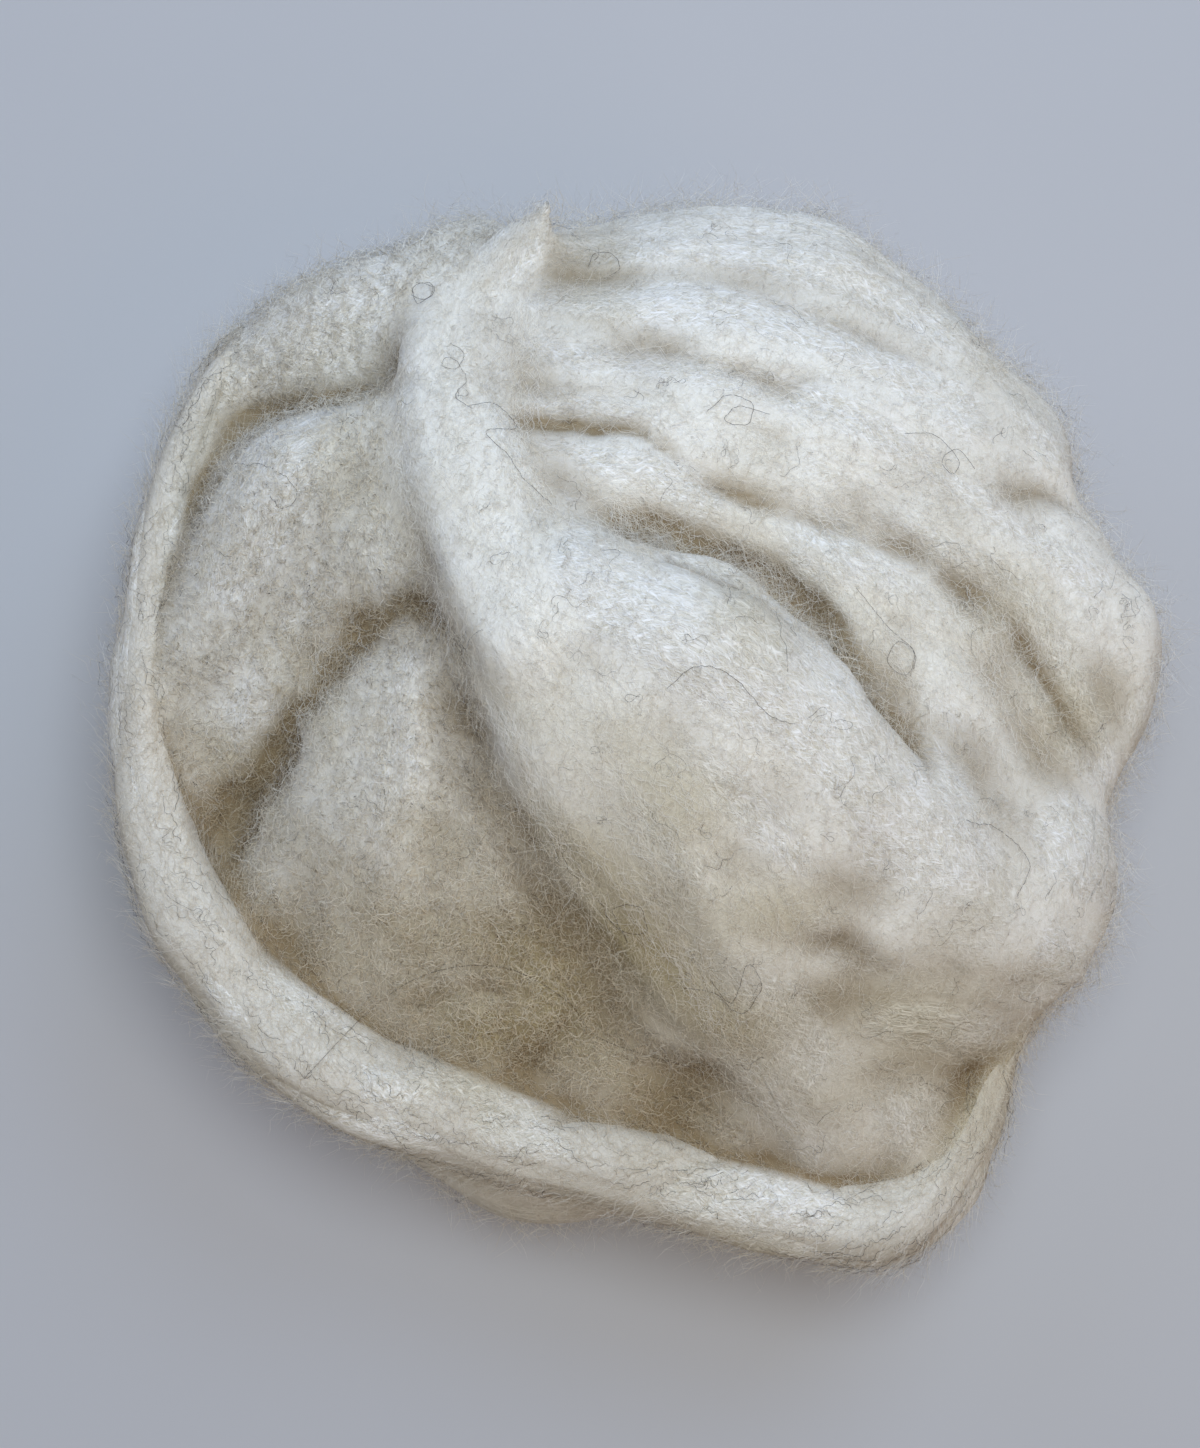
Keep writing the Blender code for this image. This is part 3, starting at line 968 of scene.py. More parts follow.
def evaluated_mesh(piece: Object) -> Mesh:
    """Take an object's mesh as its modifiers leave it, and remove the object.

    Args:
        piece: The object.

    Returns:
        The plain mesh.
    """
    depsgraph = bpy.context.evaluated_depsgraph_get()
    made = bpy.data.meshes.new_from_object(
        piece.evaluated_get(depsgraph), preserve_all_data_layers=True, depsgraph=depsgraph
    )
    bpy.data.objects.remove(piece, do_unlink=True)
    return made


def run_tree(name: str, tree: NodeTree, mesh: Mesh, values: dict[str, Any]) -> Mesh:
    """Run a tree on a mesh and give what it makes as a plain mesh.

    Args:
        name: The name for the new mesh.
        tree: The Geometry Nodes tree.
        mesh: The mesh that goes in.
        values: The values of its named inputs.

    Returns:
        The new mesh.
    """
    carrier = show(name + "_carrier", mesh)
    modifier = carrier.modifiers.new(name, "NODES")
    modifier.node_group = tree
    for item in tree.interface.items_tree:
        if item.item_type == "SOCKET" and item.in_out == "INPUT" and item.name in values:
            modifier[item.identifier] = values[item.name]
    made = evaluated_mesh(carrier)
    made.name = name
    return made


# The core's mesh, before it is merged with the tubes.
CORE_SEGMENTS = 64
CORE_RINGS = 32


def tube_tree() -> NodeTree:
    """Make the tree that sweeps the strands' middle lines to closed tubes round a core.

    Returns:
        The tree.
    """
    tree, source = start_tree("strand_tubes", (
        TreeInput("Sides", "NodeSocketInt"),
        TreeInput("Core Centre", "NodeSocketVector"),
        TreeInput("Core Half Size", "NodeSocketVector"),
        TreeInput("Material", "NodeSocketMaterial"),
    ))
    radius = add(tree, "GeometryNodeInputNamedAttribute", {"Name": "radius"}, data_type="FLOAT")
    line = add(tree, "GeometryNodeMeshToCurve", {"Mesh": source["Geometry"]})
    ring = add(tree, "GeometryNodeCurvePrimitiveCircle", {"Resolution": source["Sides"], "Radius": 1.0})
    tubes = add(
        tree, "GeometryNodeCurveToMesh",
        {"Curve": line.outputs["Curve"], "Profile Curve": ring.outputs["Curve"],
         "Scale": radius.outputs["Attribute"], "Fill Caps": True},
    )
    core = add(
        tree, "GeometryNodeMeshUVSphere",
        {"Segments": CORE_SEGMENTS, "Rings": CORE_RINGS, "Radius": 1.0},
    )
    placed = add(
        tree, "GeometryNodeTransform",
        {"Geometry": core.outputs["Mesh"], "Translation": source["Core Centre"],
         "Scale": source["Core Half Size"]},
    )
    joined = add(tree, "GeometryNodeJoinGeometry")
    tree.links.new(placed.outputs["Geometry"], joined.inputs["Geometry"])
    tree.links.new(tubes.outputs["Mesh"], joined.inputs["Geometry"])
    real = add(tree, "GeometryNodeRealizeInstances", {"Geometry": joined.outputs["Geometry"]})
    dressed = add(
        tree, "GeometryNodeSetMaterial",
        {"Geometry": real.outputs["Geometry"], "Material": source["Material"]},
    )
    add(tree, "NodeGroupOutput", {"Geometry": dressed.outputs["Geometry"]})
    return tree


class Sum(NamedTuple):
    """One sum in a tree: its name, its node, its operation, and what goes into it.

    A word among what goes in is the name of an input or of an earlier sum.
    """

    name: str
    node: str
    operation: str
    values: tuple[Any, ...]


MATH = "ShaderNodeMath"
VECTOR = "ShaderNodeVectorMath"

# How far off the grain each fibre sets out.
AIM_SUMS = (
    Sum("both draws", MATH, "ADD", ("dice x", "dice y")),
    Sum("widest", MATH, "MULTIPLY", ("fan", "Fan")),
    Sum("off the grain", MATH, "MULTIPLY", ("both draws", "widest")),
)

# How far along its fibre each ribbon point is.
LENGTH_SUMS = (
    Sum("share", MATH, "ADD", ("ribbon y", 0.5)),
    Sum("own length", MATH, "MULTIPLY_ADD", ("luck x", 0.4, 1.0)),
    Sum("length", MATH, "MULTIPLY", ("Length", "own length")),
    Sum("along", MATH, "MULTIPLY", ("share", "length")),
    Sum("crimps", MATH, "DIVIDE", ("along", "Curl Pitch")),
    Sum("phase", MATH, "MULTIPLY_ADD", ("luck y", 500.0, "crimps")),
    Sum("other phase", MATH, "ADD", ("phase", 250.0)),
)

# The step from each ribbon point to the next, and which points walk together.
STEP_SUMS = (
    Sum("sway", MATH, "SUBTRACT", ("wander", 0.5)),
    Sum("heading", MATH, "MULTIPLY", ("sway", "Curl")),
    Sum("cosine", MATH, "COSINE", ("heading",)),
    Sum("sine", MATH, "SINE", ("heading",)),
    Sum("across", VECTOR, "CROSS_PRODUCT", ("aim", "up")),
    Sum("ahead", VECTOR, "SCALE", ("aim", "cosine")),
    Sum("aside", VECTOR, "SCALE", ("across", "sine")),
    Sum("way", VECTOR, "ADD", ("ahead", "aside")),
    Sum("gaps", MATH, "SUBTRACT", ("Points", 1.0)),
    Sum("gap", MATH, "DIVIDE", ("length", "gaps")),
    Sum("step", VECTOR, "SCALE", ("way", "gap")),
    Sum("edge", MATH, "GREATER_THAN", ("ribbon x", 0.0)),
    Sum("walker", MATH, "MULTIPLY_ADD", ("hair", 2.0, "edge")),
)

# The fibre drawn back to the surface, then lifted off it, and spread to its width.
LAY_SUMS = (
    Sum("pull", VECTOR, "SUBTRACT", ("nearest", "walked to")),
    Sum("drawn", VECTOR, "SCALE", ("pull", "Hug")),
    Sum("laid", VECTOR, "ADD", ("walked to", "drawn")),
    Sum("own lift", MATH, "MULTIPLY_ADD", ("dice z", 0.4, 0.5)),
    Sum("waving lift", MATH, "ADD", ("own lift", "wave")),
    Sum("height", MATH, "MULTIPLY", ("Lift", "waving lift")),
    Sum("rising", MATH, "MULTIPLY_ADD", ("share", 5.0, -0.3)),
    Sum("risen", MATH, "MINIMUM", ("rising", 1.0)),
    Sum("tip share", MATH, "POWER", ("share", 1.6)),
    Sum("flown", MATH, "MULTIPLY", ("flying", "tip share")),
    Sum("lifted", MATH, "MULTIPLY_ADD", ("height", "risen", "flown")),
    Sum("off the surface", VECTOR, "SCALE", ("outwards", "lifted")),
    Sum("centre", VECTOR, "ADD", ("laid", "off the surface")),
    Sum("across ahead", VECTOR, "SCALE", ("across", "cosine")),
    Sum("across aside", VECTOR, "SCALE", ("aim", "sine")),
    Sum("flat side", VECTOR, "SUBTRACT", ("across ahead", "across aside")),
    Sum("roll", MATH, "MULTIPLY", ("dice x", "Roll")),
    Sum("flat share", MATH, "COSINE", ("roll",)),
    Sum("upright share", MATH, "SINE", ("roll",)),
    Sum("flat part", VECTOR, "SCALE", ("flat side", "flat share")),
    Sum("upright part", VECTOR, "SCALE", ("outwards", "upright share")),
    Sum("side", VECTOR, "ADD", ("flat part", "upright part")),
    Sum("near the tip", MATH, "POWER", ("share", 3.0)),
    Sum("taper", MATH, "MULTIPLY_ADD", ("near the tip", -0.7, 1.0)),
    Sum("reach", MATH, "MULTIPLY", ("ribbon x", "Width")),
    Sum("half width", MATH, "MULTIPLY", ("reach", "taper")),
    Sum("spread", VECTOR, "SCALE", ("side", "half width")),
    Sum("spot", VECTOR, "ADD", ("centre", "spread")),
    Sum("spot above the floor", VECTOR, "MAXIMUM", ("spot", "floor")),
    Sum("tone", MATH, "MULTIPLY_ADD", ("dice y", 0.5, 0.5)),
)


def add_sums(tree: NodeTree, known: Known, sums: Sequence[Sum]) -> None:
    """Add sums to a tree in order, and make each one known by its name.

    Args:
        tree: The tree.
        known: The sockets that words stand for, which grows with each sum.
        sums: The sums.
    """
    for name, node, operation, values in sums:
        places = (0, "Scale") if operation == "SCALE" else range(len(values))
        inputs = {
            place: known[value] if isinstance(value, str) else value
            for place, value in zip(places, values)
        }
        known[name] = add(tree, node, inputs, operation=operation).outputs[0]


FIBRE_INPUTS = tuple(
    TreeInput(name, "NodeSocket" + kind)
    for kind, names in (
        ("String", ("Where",)),
        ("Int", ("Points", "Seed")),
        ("Float", ("Density", "Length", "Width", "Fan", "Curl", "Curl Pitch", "Hug", "Lift", "Fly",
                   "Fly Share", "Roll", "Lowest")),
        ("Material", ("Material",)),
    )
    for name in names
)

# How far above the floor a fibre stays, in millimetres.
LOWEST = 0.2

# Below every place that a fibre can reach sideways, in metres.
FAR_BELOW = -10.0

# What each fibre keeps from its root, by name and kind.
KEPT = tuple((name, "FLOAT_VECTOR") for name in ("root", "up", "aim", "dice", "luck")) + (("hair", "INT"),)


def fibre_tree() -> NodeTree:
    """Make the tree that grows fibres on a combed surface.

    Each fibre is a thin ribbon. It starts at a root on the surface and heads along the grain, off
    it by its own share of the fan. Its heading wanders with its curl, its points are drawn back
    to the surface by the hug, and its tip rises where it is one of the fibres that fly.

    Returns:
        The tree.
    """
    tree, known = start_tree("wool_fibres", FIBRE_INPUTS)
    known["position"] = add(tree, "GeometryNodeInputPosition").outputs[0]
    known["hair"] = add(tree, "GeometryNodeInputIndex").outputs[0]
    roots = sow_roots(tree, known)
    ribbon = add(
        tree, "GeometryNodeMeshGrid",
        {"Size X": 1.0, "Size Y": 1.0, "Vertices X": 2, "Vertices Y": known["Points"]},
    )
    marked = add(
        tree, "GeometryNodeStoreNamedAttribute",
        {"Geometry": ribbon, "Name": "ribbon", "Value": known["position"]},
        data_type="FLOAT_VECTOR", domain="POINT",
    )
    copies = add(tree, "GeometryNodeInstanceOnPoints", {"Points": roots, "Instance": marked})
    ribbons = add(tree, "GeometryNodeRealizeInstances", {"Geometry": copies})
    lay_ribbons(tree, known)
    shaped = add(
        tree, "GeometryNodeSetPosition",
        {"Geometry": ribbons, "Position": known["spot above the floor"]},
    )
    toned = add(
        tree, "GeometryNodeStoreNamedAttribute",
        {"Geometry": shaped, "Name": "tone", "Value": known["tone"]},
        data_type="FLOAT", domain="POINT",
    )
    dressed = add(tree, "GeometryNodeSetMaterial", {"Geometry": toned, "Material": known["Material"]})
    add(tree, "NodeGroupOutput", {"Geometry": dressed})
    return tree


def sow_roots(tree: NodeTree, known: Known) -> Node:
    """Place the roots on the surface, each with what its fibre keeps.

    Args:
        tree: The fibre tree.
        known: The sockets that words stand for.

    Returns:
        The node that gives the roots.
    """
    for name, stored, kind in (
        ("where", known["Where"], "FLOAT"), ("fan", "fan", "FLOAT"), ("grain", "grain", "FLOAT_VECTOR")
    ):
        known[name] = add(
            tree, "GeometryNodeInputNamedAttribute", {"Name": stored}, data_type=kind
        ).outputs[0]
    add_sums(tree, known, (
        Sum("sown", MATH, "MULTIPLY", ("Density", "where")),
        Sum("dice seed", MATH, "ADD", ("Seed", 11.0)),
        Sum("luck seed", MATH, "ADD", ("Seed", 12.0)),
    ))
    sown = add(
        tree, "GeometryNodeDistributePointsOnFaces",
        {"Mesh": known["Geometry"], "Density": known["sown"], "Seed": known["Seed"]},
        distribute_method="RANDOM",
    )
    for name in ("dice", "luck"):
        known[name] = add(
            tree, "FunctionNodeRandomValue",
            {"Min": (-1.0, -1.0, -1.0), "Max": (1.0, 1.0, 1.0), "Seed": known[name + " seed"]},
            data_type="FLOAT_VECTOR",
        ).outputs[0]
    drawn = add(tree, "ShaderNodeSeparateXYZ", {0: known["dice"]})
    known["dice x"] = drawn.outputs["X"]
    known["dice y"] = drawn.outputs["Y"]
    add_sums(tree, known, AIM_SUMS)
    known["root"] = known["position"]
    known["up"] = sown.outputs["Normal"]
    known["aim"] = add(
        tree, "ShaderNodeVectorRotate",
        {"Vector": known["grain"], "Axis": known["up"], "Angle": known["off the grain"]},
        rotation_type="AXIS_ANGLE",
    ).outputs[0]
    roots = sown
    for name, kind in KEPT:
        roots = add(
            tree, "GeometryNodeStoreNamedAttribute",
            {"Geometry": roots, "Name": name, "Value": known[name]}, data_type=kind, domain="POINT",
        )
    return roots


def lay_ribbons(tree: NodeTree, known: Known) -> None:
    """Work out where each point of each ribbon goes, as the spot above the floor.

    Args:
        tree: The fibre tree.
        known: The sockets that words stand for, which grows.
    """
    for name, kind in KEPT + (("ribbon", "FLOAT_VECTOR"),):
        known[name] = add(
            tree, "GeometryNodeInputNamedAttribute", {"Name": name}, data_type=kind
        ).outputs[0]
    for name in ("ribbon", "dice", "luck"):
        split = add(tree, "ShaderNodeSeparateXYZ", {0: known[name]})
        for axis in ("x", "y", "z"):
            known[f"{name} {axis}"] = split.outputs[axis.upper()]
    add_sums(tree, known, LENGTH_SUMS)
    for name, phase in (("wander", "phase"), ("wave", "other phase")):
        known[name] = add(
            tree, "ShaderNodeTexNoise", {"W": known[phase], "Scale": 1.0, "Detail": 1.0},
            noise_dimensions="1D",
        ).outputs[0]
    add_sums(tree, known, STEP_SUMS)
    walked = add(
        tree, "GeometryNodeAccumulateField", {"Value": known["step"], "Group ID": known["walker"]},
        data_type="FLOAT_VECTOR", domain="POINT",
    )
    known["walked"] = walked.outputs["Trailing"]
    add_sums(tree, known, (Sum("walked to", VECTOR, "ADD", ("root", "walked")),))
    known["normal"] = add(tree, "GeometryNodeInputNormal").outputs[0]
    for name, field_name in (("nearest", "position"), ("outwards", "normal")):
        known[name] = add(
            tree, "GeometryNodeSampleNearestSurface",
            {"Mesh": known["Geometry"], "Value": known[field_name],
             "Sample Position": known["walked to"]},
            data_type="FLOAT_VECTOR",
        ).outputs[0]
    add_sums(tree, known, (Sum("first that flies", MATH, "MULTIPLY_ADD", ("Fly Share", -2.0, 1.0)),))
    known["flying"] = add(
        tree, "ShaderNodeMapRange",
        {"Value": known["luck z"], "From Min": known["first that flies"], "To Max": known["Fly"]},
    ).outputs[0]
    known["floor"] = add(
        tree, "ShaderNodeCombineXYZ", {0: FAR_BELOW, 1: FAR_BELOW, 2: known["Lowest"]}
    ).outputs[0]
    add_sums(tree, known, LAY_SUMS)


@dataclass(frozen=True)
class FibreCut:
    """How one kind of fibre is cut and laid. Lengths are in millimetres.

    Attributes:
        density: How many grow on each square millimetre where the cover is full.
        points: How many points each ribbon has along it.
        length: The mean length.
        width: The ribbon's width at its root: real fibres are finer than a mesh can show.
        fan: How far off the grain they set out, times the strand's own fan.
        curl: How far their heading wanders, in radians.
        curl_pitch: The length over which it wanders once.
        hug: How much of the way back to the surface their points are drawn.
        lift: How far off the surface they lie at most.
        fly: How high the tips of those that fly stand at most.
        fly_share: The share of them that fly.
        roll: How far the ribbons turn off flat, in radians.
    """

    density: float
    points: int
    length: float
    width: float
    fan: float
    curl: float
    curl_pitch: float
    hug: float
    lift: float
    fly: float
    fly_share: float
    roll: float

    def values(self, where: str, seed: int, material: Material) -> dict[str, Any]:
        """Give the fibre tree's input values.

        Args:
            where: The surface attribute that says where the fibres grow.
            seed: The seed of everything random.
            material: The fibres' material.

        Returns:
            The values by input name.
        """
        return {
            "Where": where,
            "Density": self.density / MM ** 2,
            "Points": self.points,
            "Length": self.length * MM,
            "Width": self.width * MM,
            "Fan": self.fan,
            "Curl": self.curl,
            "Curl Pitch": self.curl_pitch * MM,
            "Hug": self.hug,
            "Lift": self.lift * MM,
            "Fly": self.fly * MM,
            "Fly Share": self.fly_share,
            "Roll": self.roll,
            "Lowest": LOWEST * MM,
            "Seed": seed,
            "Material": material,
        }


CRIMPED = FibreCut(
    density=1.0, points=9, length=5.0, width=0.052, fan=1.9, curl=11.0, curl_pitch=2.1,
    hug=0.6, lift=0.8, fly=1.8, fly_share=0.6, roll=0.8,
)
OPEN_CRIMPED = replace(CRIMPED, length=4.6, width=0.11, fan=2.6, curl=12.0, curl_pitch=1.8)
LOOSE_CRIMPED = replace(
    CRIMPED, points=7, length=4.5, width=0.058, fan=1.3, curl=7.0, curl_pitch=2.2,
    hug=0.7, lift=0.6, fly=1.6, fly_share=0.5,
)
STRAY = FibreCut(
    density=0.535, points=7, length=6.0, width=0.055, fan=2.4, curl=9.0, curl_pitch=2.8,
    hug=0.1, lift=0.8, fly=5.5, fly_share=1.0, roll=1.6,
)
LOOSE_STRAY = replace(
    STRAY, density=1.0, points=6, length=4.8, width=0.058, fan=3.2, curl=7.0, curl_pitch=3.0, fly=3.5
)
GUARD = FibreCut(
    density=0.013, points=26, length=9.0, width=0.05, fan=2.5, curl=15.0, curl_pitch=4.5,
    hug=0.9, lift=1.1, fly=2.5, fly_share=0.15, roll=1.0,
)
LOOSE_GUARD = replace(
    GUARD, density=0.085, points=20, length=8.5, width=0.065, fan=0.7, curl=6.0, curl_pitch=1.7,
    lift=1.0, fly=1.5,
)

# What the trees and the combing leave on a mesh, and a finished piece has no use for.
WORKING_ATTRIBUTES = frozenset(
    ("root", "up", "aim", "dice", "luck", "hair", "ribbon", "grain", "comb", "fan", "seam",
     "sharp_face")
    + tuple("grow_" + zone.value for zone in Zone) + ("grow_all", "grow_edges")
)


def grow(
    name: str, tree: NodeTree, surface: Mesh, cut: FibreCut, where: str, seed: int, material: Material
) -> Object:
    """Grow one kind of fibre on a surface, as a piece.

    Args:
        name: The piece's name.
        tree: The fibre tree.
        surface: The combed surface.
        cut: How the fibres are cut and laid.
        where: The surface attribute that says where they grow.
        seed: The seed of everything random.
        material: Their material.

    Returns:
        The piece.
    """
    mesh = run_tree(name, tree, surface, cut.values(where, seed, material))
    for attribute in [row.name for row in mesh.attributes if row.name in WORKING_ATTRIBUTES]:
        mesh.attributes.remove(mesh.attributes[attribute])
    mesh.materials.clear()
    mesh.materials.append(material)
    return show(name, mesh)


def show(name: str, data: bpy.types.ID) -> Object:
    """Put a mesh, lamp or camera in the scene as an object at the origin.

    Args:
        name: The object's name.
        data: What it shows.

    Returns:
        The object.
    """
    piece = bpy.data.objects.new(name, data)
    bpy.context.scene.collection.objects.link(piece)
    return piece


def finished(name: str, shape: bmesh.types.BMesh) -> Mesh:
    """Turn a shape to a mesh, and free it.

    Args:
        name: The mesh's name.
        shape: The shape.

    Returns:
        The mesh.
    """
    mesh = bpy.data.meshes.new(name)
    shape.to_mesh(mesh)
    shape.free()
    return mesh


def report(piece: Object) -> None:
    """Log a piece's name and how many triangles it has."""
    triangles = sum(len(face.vertices) - 2 for face in piece.data.polygons)
    LOG.info("%s: %d triangles", piece.name, triangles)


# --- The ball ---------------------------------------------------------------------------------


@dataclass
class Combed:
    """What the strands say about places on the surface.

    Attributes:
        grain: The way that the strand runs, along the surface.
        comb: How far along the strand and how far round it, in millimetres, and which strand.
        fan: How far the fibres lie off the grain, in radians.
        crease: From 0 on the back of a strand to 1 where two meet.
        best: The index of the nearest strand.
    """

    grain: np.ndarray
    comb: np.ndarray
    fan: np.ndarray
    crease: np.ndarray
    best: np.ndarray


# How far a full turn's combing fades before it meets its own start, in millimetres.
END_BLEND = 9.0

# How many steps a trough's curve takes between each two of its points, and its own even step.
TROUGH_STEPS = 8
TROUGH_STEP = 1.0

# How far apart the combings of two strands lie in a pattern, so that no two look alike.
STRAND_APART = 37.0


def comb_surface(places: np.ndarray, normals: np.ndarray, strands: Sequence[Strand], blend: float) -> Combed:
    """Find which way the wool runs at places on a surface.

    Args:
        places: The places, in metres.
        normals: The surface's normals there.
        strands: The strands that it is made of.
        blend: The distance over which one strand's grain turns to the next one's, in metres.

    Returns:
        What the strands say there.
    """
    depth = np.empty((len(strands), len(places)), dtype=np.float32)
    ways = np.empty((len(strands), len(places), 3), dtype=np.float32)
    combs = np.empty((len(strands), len(places), 3), dtype=np.float32)
    ends = np.zeros((len(strands), len(places)), dtype=np.float32)
    for row, strand in enumerate(strands):
        gaps = places[:, None, :].astype(np.float32) - strand.places[None].astype(np.float32)
        spans = np.sqrt((gaps ** 2).sum(axis=2)) - strand.radii[None].astype(np.float32)
        nearest = spans.argmin(axis=1)
        depth[row] = spans[np.arange(len(places)), nearest]
        tangents = strand.tangents()[nearest]
        ways[row] = tangents
        side = unit(np.cross(tangents, (0.0, 0.0, 1.0)))
        top = np.cross(side, tangents)
        out = places - strand.places[nearest]
        angle = np.arctan2((out * side).sum(axis=1), (out * top).sum(axis=1))
        beyond = (out * tangents).sum(axis=1)
        combs[row, :, 0] = (strand.lengths()[nearest] + beyond) / MM
        combs[row, :, 1] = angle * strand.radii[nearest] / MM
        combs[row, :, 2] = row * STRAND_APART
        if strand.closed:
            length = strand.lengths()[-1] / MM
            along = combs[row, :, 0]
            ends[row] = np.clip(1.0 - np.minimum(along, length - along) / END_BLEND, 0.0, 1.0)
    best = depth.argmin(axis=0)
    picked = (best, np.arange(len(places)))
    weights = np.exp(-(depth - depth[picked]) / blend)
    signs = np.sign((ways * ways[picked][None]).sum(axis=2))
    grain = (ways * (weights * signs)[..., None]).sum(axis=0)
    grain = grain - normals * (grain * normals).sum(axis=1)[:, None]
    fans = np.array([strand.fan for strand in strands])
    runner_up = np.sort(weights, axis=0)[-2]
    return Combed(
        grain=unit(grain),
        comb=combs[picked],
        fan=(weights * fans[:, None]).sum(axis=0) / weights.sum(axis=0),
        crease=np.maximum(runner_up, ends[picked]),
        best=best,
    )


def read_flat(items: Any, name: str, columns: int = 1, kind: type = np.int32) -> np.ndarray:
    """Read a property of vertices, edges, loops or faces.

    Args:
        items: The vertices, edges, loops or faces.
        name: The property's name.
        columns: How many numbers it has.
        kind: The kind of number.

    Returns:
        The numbers, in one row.
    """
    flat = np.empty(len(items) * columns, dtype=kind)
    items.foreach_get(name, flat)
    return flat


def mesh_places(mesh: Mesh) -> np.ndarray:
    """Read a mesh's vertex places."""
    return read_flat(mesh.vertices, "co", 3, np.float32).reshape(-1, 3).astype(float)


def mesh_normals(mesh: Mesh) -> np.ndarray:
    """Read a mesh's vertex normals."""
    return read_flat(mesh.vertex_normals, "vector", 3, np.float32).reshape(-1, 3).astype(float)


def move_mesh(mesh: Mesh, places: np.ndarray) -> None:
    """Give a mesh new vertex places."""
    mesh.vertices.foreach_set("co", places.astype(np.float32).ravel())
    mesh.update()


def store(mesh: Mesh, name: str, values: np.ndarray, domain: str = "POINT") -> None:
    """Store numbers or vectors on a mesh as a named attribute.

    Args:
        mesh: The mesh.
        name: The attribute's name.
        values: One number or one row of three for each vertex or face.
        domain: Which of them the values are for.
    """
    vector = values.ndim == 2
    attribute = mesh.attributes.new(name, "FLOAT_VECTOR" if vector else "FLOAT", domain)
    attribute.data.foreach_set("vector" if vector else "value", values.astype(np.float32).ravel())


def store_combing(mesh: Mesh, combed: Combed, tinge_and_shade_share: float = 1.0) -> None:
    """Store the grain, swirled a little as soft wool's is, and the rest of the combing.

    Args:
        mesh: The combed surface.
        combed: What the strands say about its places.
        tinge_and_shade_share: How much of the set spots' yellower cream, partly tint and partly painted
            shade, the surface shows.
    """
    angles = (lumps(mesh_places(mesh) / MM, SWIRL_PITCH, Seed.SWIRL) * SWIRL)[:, None]
    aside = np.cross(mesh_normals(mesh), combed.grain)
    store(mesh, "grain", combed.grain * np.cos(angles) + aside * np.sin(angles))
    store(mesh, "comb", combed.comb)
    store(mesh, "fan", combed.fan)
    store(mesh, "seam", combed.crease)
    # The set spots' deeper, yellower cream: partly the fleece's tint, partly painted shade.
    store(mesh, "tinge_and_shade", tinge_and_shade_at(mesh_places(mesh)) * tinge_and_shade_share)


def relaxed(mesh: Mesh, rounds: int, share: np.ndarray | float = 1.0) -> np.ndarray:
    """Relax a surface: move each vertex towards the mean of its neighbours, many times.

    Args:
        mesh: The surface.
        rounds: How many times the vertices move, each time up to half the way.
        share: How much of that each vertex takes, from 0 to 1.

    Returns:
        The relaxed places.
    """
    places = mesh_places(mesh)
    ends = read_flat(mesh.edges, "vertices", 2)
    one, two = ends.reshape(-1, 2).T
    count = np.bincount(ends, minlength=len(places))[:, None]
    weight = 0.5 * np.broadcast_to(np.asarray(share, dtype=float), len(places))[:, None]
    for _ in range(rounds):
        total = np.column_stack([
            np.bincount(one, column[two], len(places)) + np.bincount(two, column[one], len(places))
            for column in places.T
        ])
        places += (total / count - places) * weight
    return places


def hollows(mesh: Mesh, rounds: int) -> np.ndarray:
    """Measure how deep each vertex lies below the relaxed surface, below zero on a crest, in metres."""
    return ((relaxed(mesh, rounds) - mesh_places(mesh)) * mesh_normals(mesh)).sum(axis=1)


